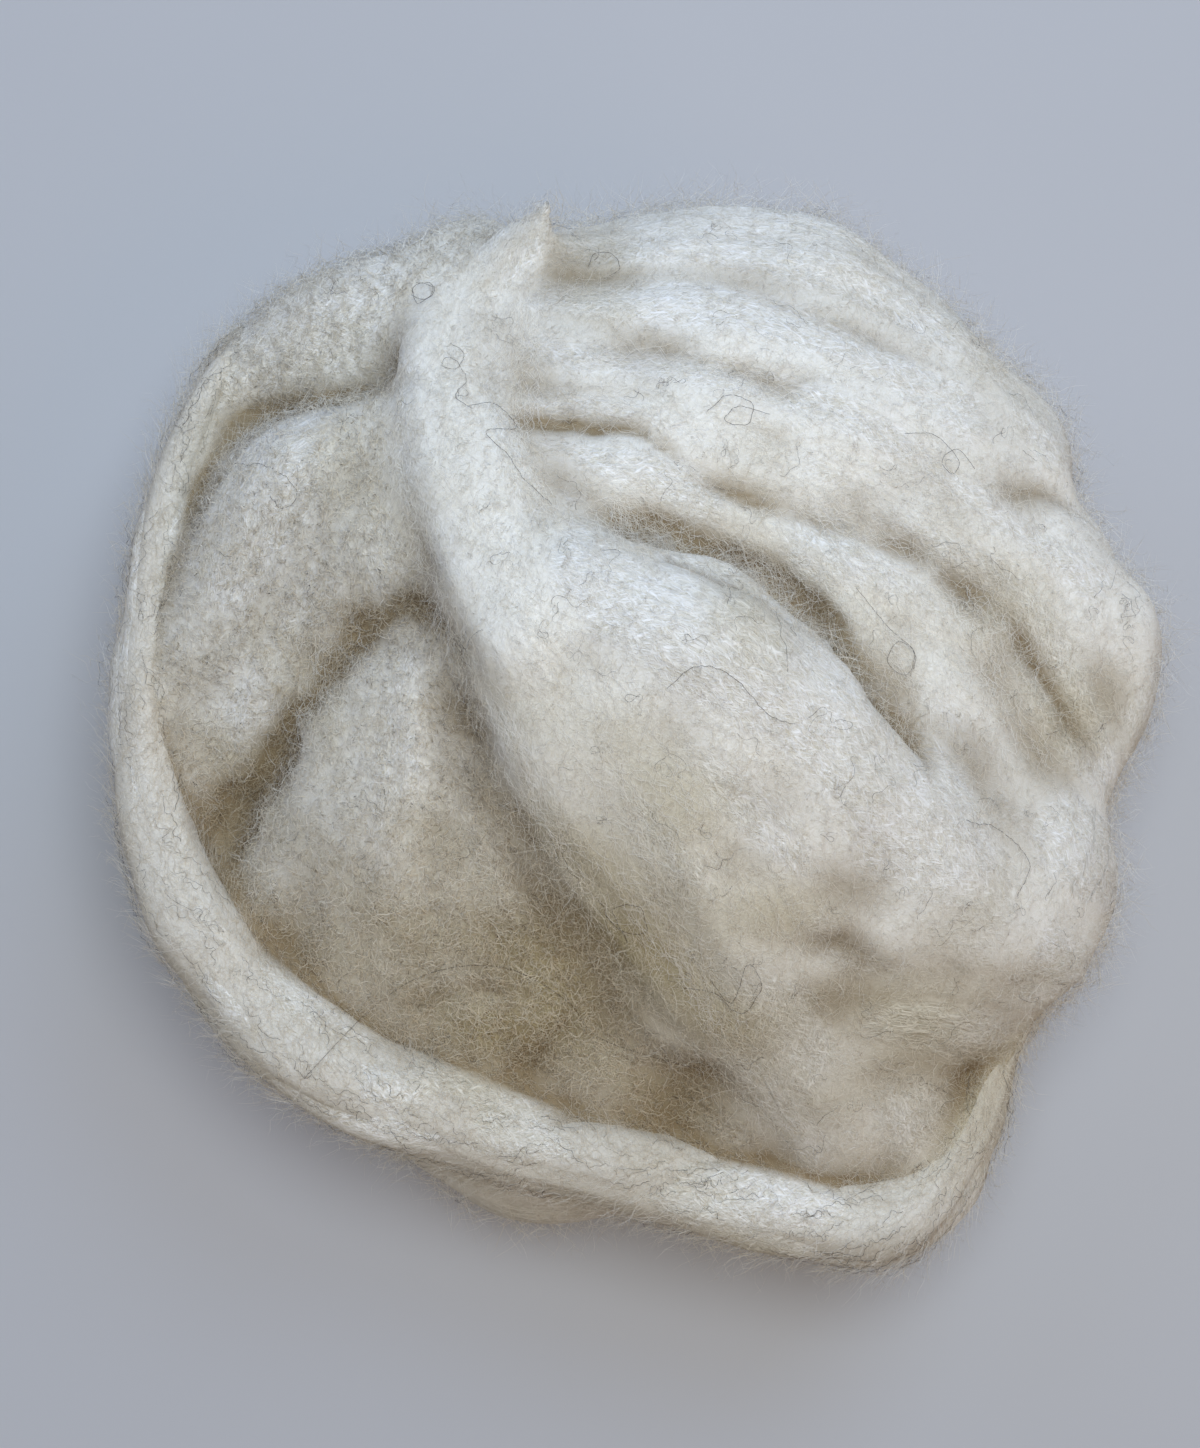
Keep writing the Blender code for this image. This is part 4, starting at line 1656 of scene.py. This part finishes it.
@dataclass
class WoundBall:
    """The ball: its turns and folds merged to one soft mass, its combing and its coat.

    Sizes are in millimetres.

    Attributes:
        shoulder_radius: The radius of the turn that carries the loose end.
        shoulder_slope_deg: How far below the loose end that turn lies, seen from the ball's middle.
        shoulder_bite: How far the two press into each other.
        loose_end_share: The loose end's seat, as a share of its own radius.
        lump_sizes: The pitch and height of each set of lumps.
        lock_sizes: The length, width and height of each set of locks.
        lock_tight: The share of that height where the wool is tight.
        lock_loss: What it loses where the wool is settled.
        side_locks: What it gains on the sides, which nothing has pressed.
        top_slope: How far up a face has to look for a trough's whole depth.
        trough_ends: How early a trough fades towards its ends: less is later.
        trough_flank: How steep its flanks are.
        edge_cover: How thickly stray fibres grow on flat tops, and how much more on upright sides.
    """

    core_centre: Triple = (0.0, -1.0, 30.0)
    core_half_size: Triple = (51.0, 53.0, 34.0)
    shoulder_radius: float = 11.0
    shoulder_slope_deg: float = 58.0
    shoulder_bite: float = 1.5
    shoulder_fan_deg: float = 28.0
    strand_step: float = 2.0
    tube_sides: int = 40
    voxel: float = 1.3
    smooth_passes: int = 8
    smooth_factor: float = 0.5
    relax_rounds: int = 48
    hollow_rounds: int = 80
    hollow_full: float = 1.5
    loose_end_share: float = 0.93
    seat_fan_deg: float = 20.0
    lump_sizes: tuple[Pair, ...] = ((34.0, 0.6), (15.0, 0.25))
    lock_sizes: tuple[Triple, ...] = ((40.0, 9.0, 0.6), (26.0, 4.0, 0.38))
    lock_tight: float = 1.2
    lock_loss: float = 0.8
    side_locks: float = 1.3
    top_slope: float = 0.5
    trough_uneven: float = 0.25
    trough_sway: float = 0.7
    trough_pitch: float = 9.0
    trough_ends: float = 0.6
    trough_flank: float = 1.5
    grain_blend: float = 1.5
    patchy: float = 0.45
    patch_pitch: float = 8.0
    patch_range: Pair = (0.4, 1.6)
    under_loss: float = 0.8
    full_height: float = 30.0
    low_cover: float = 0.45
    bare_height: float = 1.0
    edge_cover: Pair = (0.35, 2.2)
    strands: list[Strand] = field(default_factory=list)

    def wind(self, route: np.ndarray) -> None:
        """Lay out every strand of the ball.

        Args:
            route: The loose end's rows in millimetres, which the shoulder turn follows.
        """
        self.strands = [
            ply for zone, folds in FOLDS.items() for fold in folds
            for ply in fold_strands(fold, zone, self.strand_step)
        ]
        self.strands += [turn_strand(turn, self.strand_step) for turn in UNDER_TURNS]
        slope = math.radians(self.shoulder_slope_deg)
        reach = self.shoulder_radius + route[:, 3] - self.shoulder_bite
        inwards = -unit(route[:, :2])
        rows = np.column_stack([
            route[:, :2] + inwards * (math.cos(slope) * reach)[:, None],
            route[:, 2] - math.sin(slope) * reach,
            np.full(len(route), self.shoulder_radius),
        ])
        rows = in_row_frame(even_rows(rows, self.strand_step))
        fan = math.radians(self.shoulder_fan_deg)
        self.strands.append(Strand(rows[:, :3], rows[:, 3], Zone.UNDER, fan))
        rows = in_row_frame(route)
        radii = rows[:, 3] * self.loose_end_share
        self.strands.append(Strand(rows[:, :3], radii, Zone.LOOSE, math.radians(self.seat_fan_deg)))

    def form(self, material: Material, loose_end: Strand) -> Mesh:
        """Make the soft mass: sweep, merge and soften the strands, then press in its lines.

        Args:
            material: The material of the mass.
            loose_end: The loose end, whose seat stays clear.

        Returns:
            The mesh, with its combing stored.
        """
        tubes = run_tree("strand_tubes", tube_tree(), self._lines(), {
            "Sides": self.tube_sides,
            "Core Centre": tuple(in_row_frame(np.array([self.core_centre]))[0]),
            "Core Half Size": tuple(np.array(self.core_half_size) * MM),
            "Material": material,
        })
        merged = self._merge(tubes)
        self._shape(merged, loose_end)
        merged.materials.clear()
        merged.materials.append(material)
        merged.shade_smooth()
        return merged

    def _lines(self) -> Mesh:
        """Make the strands' middle lines, with the radius at each point.

        Returns:
            A mesh of points and edges.
        """
        lines = bpy.data.meshes.new("strand_lines")
        vertices: list[np.ndarray] = []
        edges: list[tuple[int, int]] = []
        radii: list[np.ndarray] = []
        first = 0
        for strand in self.strands:
            places, widths = strand.with_domes()
            last = first + len(places) - 1
            edges += [(place, place + 1) for place in range(first, last)]
            if strand.closed:
                edges.append((last, first))
            vertices.append(places)
            radii.append(widths)
            first = last + 1
        lines.from_pydata(np.vstack(vertices).tolist(), edges, [])
        store(lines, "radius", np.concatenate(radii))
        return lines

    def _merge(self, tubes: Mesh) -> Mesh:
        """Merge overlapping tubes to one closed surface and soften its creases.

        Args:
            tubes: The tubes and the core.

        Returns:
            The surface.
        """
        carrier = show("merging", tubes)
        merge = carrier.modifiers.new("merge", "REMESH")
        merge.mode = "VOXEL"
        merge.voxel_size = self.voxel * MM
        soften = carrier.modifiers.new("soften", "SMOOTH")
        soften.factor = self.smooth_factor
        soften.iterations = self.smooth_passes
        return evaluated_mesh(carrier)

    def _shape(self, mesh: Mesh, loose_end: Strand) -> None:
        """Relax the soft mass, make it uneven, press in its lines, and comb it.

        Args:
            mesh: The merged surface.
            loose_end: The loose end, whose seat stays clear.
        """
        blend = self.grain_blend * MM
        combed = comb_surface(mesh_places(mesh), mesh_normals(mesh), self.strands, blend)
        softness = np.array([SOFTNESS[strand.zone] for strand in self.strands])[combed.best]
        move_mesh(mesh, relaxed(mesh, self.relax_rounds, softness))
        places = mesh_places(mesh)
        normals = mesh_normals(mesh)
        around = places / MM
        upwards = np.clip(normals[:, 2] / self.top_slope, 0.0, 1.0)
        rise = np.zeros(len(places))
        for seed, (pitch, height) in enumerate(self.lump_sizes, Seed.LUMPS):
            rise += lumps(around, pitch, seed) * height
        self._raise_locks(rise, combed, softness, upwards)
        self._press_troughs(rise, around, upwards)
        places += normals * rise[:, None] * MM
        places[:, 2] = np.maximum(places[:, 2], 0.0)
        move_mesh(mesh, places)
        combed = comb_surface(places, mesh_normals(mesh), self.strands, blend)
        store_combing(mesh, combed)
        # How deep each place lies in a crease, which the materials paint as shade.
        depth = hollows(mesh, self.hollow_rounds) / (self.hollow_full * MM)
        store(mesh, "crease_shade", np.clip(0.5 + 0.5 * depth, 0.0, 1.0))
        self._mark_zones(mesh, combed, loose_end)

    def _raise_locks(
        self, rise: np.ndarray, combed: Combed, softness: np.ndarray, upwards: np.ndarray
    ) -> None:
        """Raise the locks of the strands, and higher on the sides.

        Args:
            rise: How far each vertex rises, in millimetres, which this adds to.
            combed: What the strands say about the vertices.
            softness: How far the wool has settled at each.
            upwards: How far each looks up, from 0 to 1.
        """
        plain = 1.0 + self.side_locks * (1.0 - upwards)
        tight = self.lock_tight - self.lock_loss * softness
        for seed, (along, across, height) in enumerate(self.lock_sizes, Seed.LOCKS):
            locks = lumps(combed.comb, np.array((along, across, 1.0)), seed)
            rise += locks * height * (1.0 - combed.crease) * tight * plain

    def _press_troughs(self, rise: np.ndarray, around: np.ndarray, upwards: np.ndarray) -> None:
        """Press the troughs into what looks up.

        Args:
            rise: How far each vertex rises, in millimetres, which this takes from.
            around: The vertices, in millimetres.
            upwards: How far each looks up, from 0 to 1.
        """
        uneven = 1.0 + self.trough_uneven * lumps(around, self.trough_pitch, Seed.TROUGH_DEPTH)
        spots = around[:, :2] + self.trough_sway * np.column_stack([
            lumps(around, self.trough_pitch, seed) for seed in (Seed.TROUGH_SWAY_X, Seed.TROUGH_SWAY_Y)
        ])
        for trough in TROUGHS:
            line = in_row_frame(flat_line(trough.line, TROUGH_STEPS, TROUGH_STEP)) / MM
            spans = np.linalg.norm(spots[:, None] - line[None, :, :2], axis=2)
            nearest = spans.argmin(axis=1)
            fade = np.sin(math.pi * (nearest + 0.5) / len(line)) ** self.trough_ends
            near = np.exp(-(spans.min(axis=1) / trough.width) ** self.trough_flank)
            rise -= trough.depth * near * fade * upwards * uneven

    def _mark_zones(self, mesh: Mesh, combed: Combed, loose_end: Strand) -> None:
        """Mark each face with the piece that its fibres belong to, thinner below and underneath.

        Args:
            mesh: The shaped mass.
            combed: What the strands say about its vertices.
            loose_end: The loose end, under which nothing grows.
        """
        first = read_flat(mesh.loops, "vertex_index")[read_flat(mesh.polygons, "loop_start")]
        places = mesh_places(mesh)[first]
        normals = mesh_normals(mesh)[first]
        downwards = np.clip(-normals[:, 2], 0.0, 1.0)
        cover = (1.0 - self.under_loss * downwards) * np.clip(
            places[:, 2] / (self.full_height * MM), self.low_cover, 1.0
        )
        patches = self.patchy * lumps(places / MM, self.patch_pitch, Seed.PATCHES)
        cover *= np.clip(1.0 + patches, *self.patch_range)
        spans = np.linalg.norm(places[:, None, :] - loose_end.places[None], axis=2) - loose_end.radii[None]
        cover[(places[:, 2] < self.bare_height * MM) | (spans.min(axis=1) < 0.0)] = 0.0
        zones = np.array([strand.zone.value for strand in self.strands])[combed.best[first]]
        for zone, thickness in THICKNESS.items():
            grows = zones == zone.value
            if zone is Zone.UNDER:
                grows |= zones == Zone.LOOSE.value
            store(mesh, "grow_" + zone.value, cover * grows * thickness, "FACE")
        upright = 1.0 - np.abs(normals[:, 2])
        flat_share, upright_share = self.edge_cover
        store(mesh, "grow_all", cover, "FACE")
        store(mesh, "grow_edges", cover * (flat_share + upright_share * upright ** 2), "FACE")


# --- The loose end ----------------------------------------------------------------------------


@dataclass
class LooseEnd:
    """The strand's loose end: it leaves the ball low at the right and lies round it to a wisp.

    Sizes are in millimetres.

    Attributes:
        diameter: Its thickest stretch.
        unevenness: How uneven its thickness is, as a share of the diameter.
        lock_size: How long and how wide a lock is.
        full_radius: The radius below which it is less uneven.
        thin_share: How uneven its thinnest stretch still is, as a share.
        tinge_and_shade_share: How much of the set spots' yellower cream, partly tint and partly painted
            shade, it shows: it lies outermost.
        crease_shade: The depth of crease that its painted shade is read from: a flat surface's, which still
            paints it a little darker.
    """

    diameter: float = 14.0
    step: float = 2.0
    sides: int = 36
    fan_deg: float = 13.0
    unevenness: float = 0.07
    lump_pitch: float = 22.0
    lock_height: float = 0.3
    lock_size: Pair = (30.0, 3.0)
    full_radius: float = 6.0
    thin_share: float = 0.2
    tinge_and_shade_share: float = 0.5
    crease_shade: float = 0.5

    def route(self) -> np.ndarray:
        """Give the middle line in millimetres, at even steps."""
        return even_rows(smooth_rows(LOOSE_END, CURVE_STEPS), self.step)

    def strand(self) -> Strand:
        """Give the loose end as a strand in metres."""
        rows = in_row_frame(self.route())
        return Strand(rows[:, :3], rows[:, 3], Zone.LOOSE, math.radians(self.fan_deg))

    def form(self, material: Material) -> Mesh:
        """Make the loose end's mass as a tube with round ends, uneven as soft wool is.

        Args:
            material: The material of the mass.

        Returns:
            The mesh, with its combing stored.
        """
        strand = self.strand()
        places, radii = strand.with_domes()
        shape = bmesh.new()
        rings = []
        tangents = unit(np.gradient(places, axis=0))
        for place, radius, tangent in zip(places, radii, tangents):
            side = unit(np.cross(tangent, (0.0, 0.0, 1.0)))
            top = np.cross(side, tangent)
            ring = []
            for corner in range(self.sides):
                angle = math.tau * corner / self.sides
                way = side * math.sin(angle) + top * math.cos(angle)
                ring.append(shape.verts.new(place + way * radius))
            rings.append(ring)
        for one, two in zip(rings, rings[1:]):
            for corner in range(self.sides):
                after = (corner + 1) % self.sides
                shape.faces.new((one[corner], two[corner], two[after], one[after]))
        shape.faces.new(rings[0])
        shape.faces.new(rings[-1][::-1])
        bmesh.ops.recalc_face_normals(shape, faces=shape.faces)
        mesh = finished("loose_end_mass", shape)
        self._uneven(mesh, strand)
        mesh.materials.append(material)
        mesh.shade_smooth()
        return mesh

    def _uneven(self, mesh: Mesh, strand: Strand) -> None:
        """Press the tube uneven, raise its locks a little, and comb it.

        Combing compares each strand with the runner-up, so this one stands there twice.

        Args:
            mesh: The even tube.
            strand: The loose end.
        """
        places = mesh_places(mesh)
        normals = mesh_normals(mesh)
        combed = comb_surface(places, normals, [strand, strand], MM)
        lumpy = lumps(places / MM, self.lump_pitch, Seed.LOOSE_LUMPS) - 0.5
        rise = lumpy * self.unevenness * self.diameter
        rise += lumps(combed.comb[:, :2], np.array(self.lock_size), Seed.LOOSE_LOCKS) * self.lock_height
        nearest = np.linalg.norm(places[:, None] - strand.places[None], axis=2).argmin(axis=1)
        thin = np.clip(strand.radii[nearest] / (self.full_radius * MM), self.thin_share, 1.0)
        move_mesh(mesh, places + normals * (rise * thin * MM)[:, None])
        combed = comb_surface(mesh_places(mesh), mesh_normals(mesh), [strand, strand], MM)
        store_combing(mesh, combed, self.tinge_and_shade_share)
        store(mesh, "grow_" + Zone.LOOSE.value, np.ones(len(mesh.polygons)), "FACE")
        # The loose end's painted crease shade: one even value, which paints it a little darker all over.
        store(mesh, "crease_shade", np.full(len(mesh.vertices), self.crease_shade))


# --- Hairs laid one by one --------------------------------------------------------------------

# How many steps a laid line's curve takes between each two of its points.
HAIR_STEPS = 10

# The seeds that a wisp's fibre draws its sway from end before this one.
SWAY_SEEDS = 9999


@dataclass
class LaidHairs:
    """Hairs laid over the finished surfaces one by one. Sizes are in millimetres.

    Attributes:
        trees: The surfaces that the hairs lie on.
        step: The length between two points of a hair.
        width: A hair's width.
        lift: How far it lies off the surface.
        above: A height above everything.
        ease: How many points to each side its height is evened over.
        fewest: The fewest points in a wisp's fibre.
        shares: The shortest and the longest fibre of a wisp, as a share of its length.
        sway_pitch: The shortest and the longest sway of a wisp's fibre.
        sway: The narrowest and the widest.
        lean: How far a wisp's fibre leans off its line, as a slope.
    """

    trees: Sequence[BVHTree]
    step: float = 0.5
    width: float = 0.065
    lift: float = 0.8
    above: float = 150.0
    ease: int = 3
    crimp_pitch: float = 2.4
    tone: float = 0.6
    tone_uneven: float = 0.3
    tone_pitch: float = 3.0
    fewest: int = 6
    shares: Pair = (0.5, 1.2)
    sway_pitch: Pair = (2.2, 5.0)
    sway: Pair = (0.4, 1.4)
    lean: float = 0.25

    def hair(self, shape: bmesh.types.BMesh, line: np.ndarray) -> None:
        """Add one hair to a mesh as a thin ribbon, draped along a line seen from above.

        Args:
            shape: The mesh that gets it.
            line: Its line in millimetres, whose heights are found here.
        """
        line = in_row_frame(line)
        height = 0.0
        for place in line:
            start = Vector((place[0], place[1], self.above * MM))
            hits = [tree.ray_cast(start, Vector((0.0, 0.0, -1.0)))[0] for tree in self.trees]
            height = max([hit.z for hit in hits if hit is not None], default=height)
            place[2] = height
        around = np.pad(line[:, 2], self.ease, mode="edge")
        window = 2 * self.ease + 1
        eased = np.convolve(around, np.full(window, 1.0 / window), mode="valid")
        line[:, 2] = np.maximum(line[:, 2], eased) + self.lift * MM
        side = unit(np.cross(np.gradient(line, axis=0), (0.0, 0.0, 1.0))) * self.width / 2 * MM
        left, right = ([shape.verts.new(place) for place in line + way * side] for way in (-1.0, 1.0))
        for corners in zip(left, right, right[1:], left[1:]):
            shape.faces.new(corners)

    def finish(self, name: str, shape: bmesh.types.BMesh, material: Material) -> Object:
        """Turn the hairs to a piece in their material.

        Args:
            name: The piece's name.
            shape: The hairs.
            material: Their material.

        Returns:
            The piece.
        """
        mesh = finished(name, shape)
        tones = self.tone_uneven * lumps(mesh_places(mesh) / MM, self.tone_pitch, Seed.HAIR_TONE)
        store(mesh, "tone", np.clip(self.tone + tones, 0.0, 1.0))
        mesh.materials.append(material)
        return show(name, mesh)

    def dark_hairs(self, material: Material) -> Object:
        """Lay the dark hairs that have places of their own.

        Args:
            material: Their material.

        Returns:
            The piece.
        """
        shape = bmesh.new()
        for place, hair in enumerate(PLACED_HAIRS):
            line = flat_line(hair.line, HAIR_STEPS, self.step)
            along = np.arange(len(line))[:, None] * self.step
            for axis in (0, 1):
                seed = Seed.HAIR_CRIMP + 2 * place + axis
                line[:, axis] += lumps(along, self.crimp_pitch, seed) * hair.crimp
            self.hair(shape, line)
        return self.finish("placed_hairs", shape, material)

    def wisps(self, material: Material) -> Object:
        """Lay the loose locks of pale fibres.

        Args:
            material: Their material.

        Returns:
            The piece.
        """
        shape = bmesh.new()
        rng = np.random.default_rng(Seed.WISPS)
        for wisp in WISPS:
            line = flat_line(wisp.line, HAIR_STEPS, self.step)
            side = unit(np.cross(np.gradient(line, axis=0), (0.0, 0.0, 1.0)))
            for _ in range(wisp.fibres):
                wanted = round(wisp.length * rng.uniform(*self.shares) / self.step)
                count = max(self.fewest, min(len(line), wanted))
                first = rng.integers(0, len(line) - count + 1)
                part = slice(first, first + count)
                along = np.arange(count)[:, None] * self.step
                sway = lumps(along, rng.uniform(*self.sway_pitch), int(rng.integers(1, SWAY_SEEDS)))
                offset = rng.normal() * wisp.spread + sway * rng.uniform(*self.sway)
                offset += (along[:, 0] - along.mean()) * rng.normal() * self.lean
                self.hair(shape, line[part] + side[part] * offset[:, None])
        return self.finish("loose_wisps", shape, material)


def surface_trees(surfaces: Sequence[Mesh]) -> list[BVHTree]:
    """Make the search trees of some meshes.

    Args:
        surfaces: The meshes.

    Returns:
        One tree for each.
    """
    return [
        BVHTree.FromPolygons(
            [vertex.co for vertex in surface.vertices],
            [tuple(face.vertices) for face in surface.polygons],
        )
        for surface in surfaces
    ]


# --- Studio -----------------------------------------------------------------------------------


class Lamp(NamedTuple):
    """A round soft lamp: its place in metres, its power in watts and its colour."""

    name: str
    place: Triple
    power: float
    colour: str


LAMPS = (
    Lamp("window", (0.34, 0.60, 0.78), 4.2, "#b2d2ff"),
    Lamp("sky", (-0.55, 0.55, 0.60), 1.7, "#86b4ff"),
    Lamp("ceiling", (0.05, 0.10, 1.00), 8.3, "#e0eeff"),
    Lamp("room", (0.60, -0.36, 0.74), 0.9, "#ffbe8a"),
)

# How wide a lamp is, and the place that all of them look at, in metres.
LAMP_SIZE = 0.6
LAMP_TARGET = (0.0, 0.0, 0.04)


@dataclass
class Studio:
    """The floor, the lights and the camera. Sizes are in millimetres."""

    floor_half: float = 1500.0
    camera_target: Triple = (-6.1, 1.0, 40.0)
    camera_distance: float = 380.0
    camera_tilt_deg: float = 3.0
    clip_start: float = 10.0
    lens: float = 62.6
    sensor: float = 36.0
    room_colour: str = "#ffd9ac"
    room_strength: float = 0.11

    def set_camera(self) -> None:
        """Look down on the ball, a little from the front."""
        data = bpy.data.cameras.new("camera")
        data.lens = self.lens
        data.sensor_width = self.sensor
        data.clip_start = self.clip_start * MM
        camera = show("camera", data)
        tilt = math.radians(self.camera_tilt_deg)
        back = Vector((0.0, -math.sin(tilt), math.cos(tilt))) * self.camera_distance
        camera.location = (Vector(self.camera_target) + back) * MM
        camera.rotation_euler = (tilt, 0.0, 0.0)
        bpy.context.scene.camera = camera

    def build_floor(self) -> Object:
        """Make the plain floor.

        Returns:
            The floor.
        """
        shape = bmesh.new()
        bmesh.ops.create_grid(shape, x_segments=1, y_segments=1, size=self.floor_half * MM)
        mesh = finished("floor", shape)
        mesh.materials.append(PlainFloor().material())
        return show("floor", mesh)

    def light(self) -> None:
        """Light the ball from a soft cool window at the back, with a warm room round it."""
        for row in LAMPS:
            data = bpy.data.lights.new(row.name, "AREA")
            data.shape = "DISK"
            data.size = LAMP_SIZE
            data.energy = row.power
            data.color = linear(row.colour)[:3]
            lamp = show(row.name, data)
            lamp.location = row.place
            towards = Vector(LAMP_TARGET) - Vector(row.place)
            lamp.rotation_euler = towards.to_track_quat("-Z", "Y").to_euler()
        world = bpy.data.worlds.new("room")
        world.use_nodes = True
        background = world.node_tree.nodes["Background"]
        background.inputs["Color"].default_value = linear(self.room_colour)
        background.inputs["Strength"].default_value = self.room_strength
        bpy.context.scene.world = world
        bpy.context.scene.view_settings.view_transform = "Standard"


# --- Main -------------------------------------------------------------------------------------


def declare(piece: Object, node: str) -> None:
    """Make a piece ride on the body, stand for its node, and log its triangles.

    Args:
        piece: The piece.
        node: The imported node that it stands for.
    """
    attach(piece, BODY)
    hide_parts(node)
    report(piece)


def grow_coat(ball_mesh: Mesh, loose_mesh: Mesh, fibre: Material, dark: Material) -> None:
    """Grow every fibre and guard hair of the ball and the loose end.

    Args:
        ball_mesh: The combed mass of the ball.
        loose_mesh: The combed mass of the loose end.
        fibre: The fibres' material.
        dark: The guard hairs' material.
    """
    tree = fibre_tree()
    rows = [
        (zone.value + "_fibres", ball_mesh, OPEN_CRIMPED if zone is Zone.LEFT else CRIMPED,
         "grow_" + zone.value, fibre, BALL_NODE)
        for zone in THICKNESS
    ]
    rows += [
        ("stray_fibres", ball_mesh, STRAY, "grow_edges", fibre, BALL_NODE),
        ("guard_hairs", ball_mesh, GUARD, "grow_all", dark, BALL_NODE),
        ("loose_end_fibres", loose_mesh, LOOSE_CRIMPED, "grow_loose_end", fibre, LOOSE_NODE),
        ("loose_end_stray_fibres", loose_mesh, LOOSE_STRAY, "grow_loose_end", fibre, LOOSE_NODE),
        ("loose_end_guard_hairs", loose_mesh, LOOSE_GUARD, "grow_loose_end", dark, LOOSE_NODE),
    ]
    for seed, (name, surface, cut, where, material, node) in enumerate(rows, Seed.FIBRES):
        declare(grow(name, tree, surface, cut, where, seed, material), node)


def main() -> None:
    """Build the wool ball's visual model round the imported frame."""
    logging.basicConfig(level=logging.INFO, format="%(message)s")
    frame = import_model()
    LOG.info("frame nodes: %s", ", ".join(sorted(frame["nodes"])))

    studio = Studio()
    studio.set_camera()

    felt = FeltedWool("combed_undyed_wool").material()
    fibre = FibreWool("undyed_wool_fibre").material()
    # The dark hairs take their own tint and painted crease shade, in darker browns.
    dark = FibreWool("coarse_dark_guard_hair", pale="#5a4f42", deep="#231e19", tinge_and_shade="#463c31",
                     crease_shade="#3a3127", roughness=0.35, through=0.1).material()

    loose_end = LooseEnd()
    strand = loose_end.strand()
    loose_mesh = loose_end.form(felt)
    rope = show("loose_end_mass", loose_mesh)
    declare(rope, LOOSE_NODE)
    float(strand.lengths()[-1])

    ball = WoundBall()
    ball.wind(loose_end.route())
    ball_mesh = ball.form(felt, strand)
    mass = show("wound_mass", ball_mesh)
    declare(mass, BALL_NODE)

    trees = surface_trees((ball_mesh, loose_mesh))
    declare(LaidHairs(trees).dark_hairs(dark), BALL_NODE)
    declare(LaidHairs(trees, step=0.8, width=0.05, lift=0.7).wisps(fibre), BALL_NODE)

    grow_coat(ball_mesh, loose_mesh, fibre, dark)

    floor = studio.build_floor()
    studio.light()


if __name__ == "__main__":
    main()
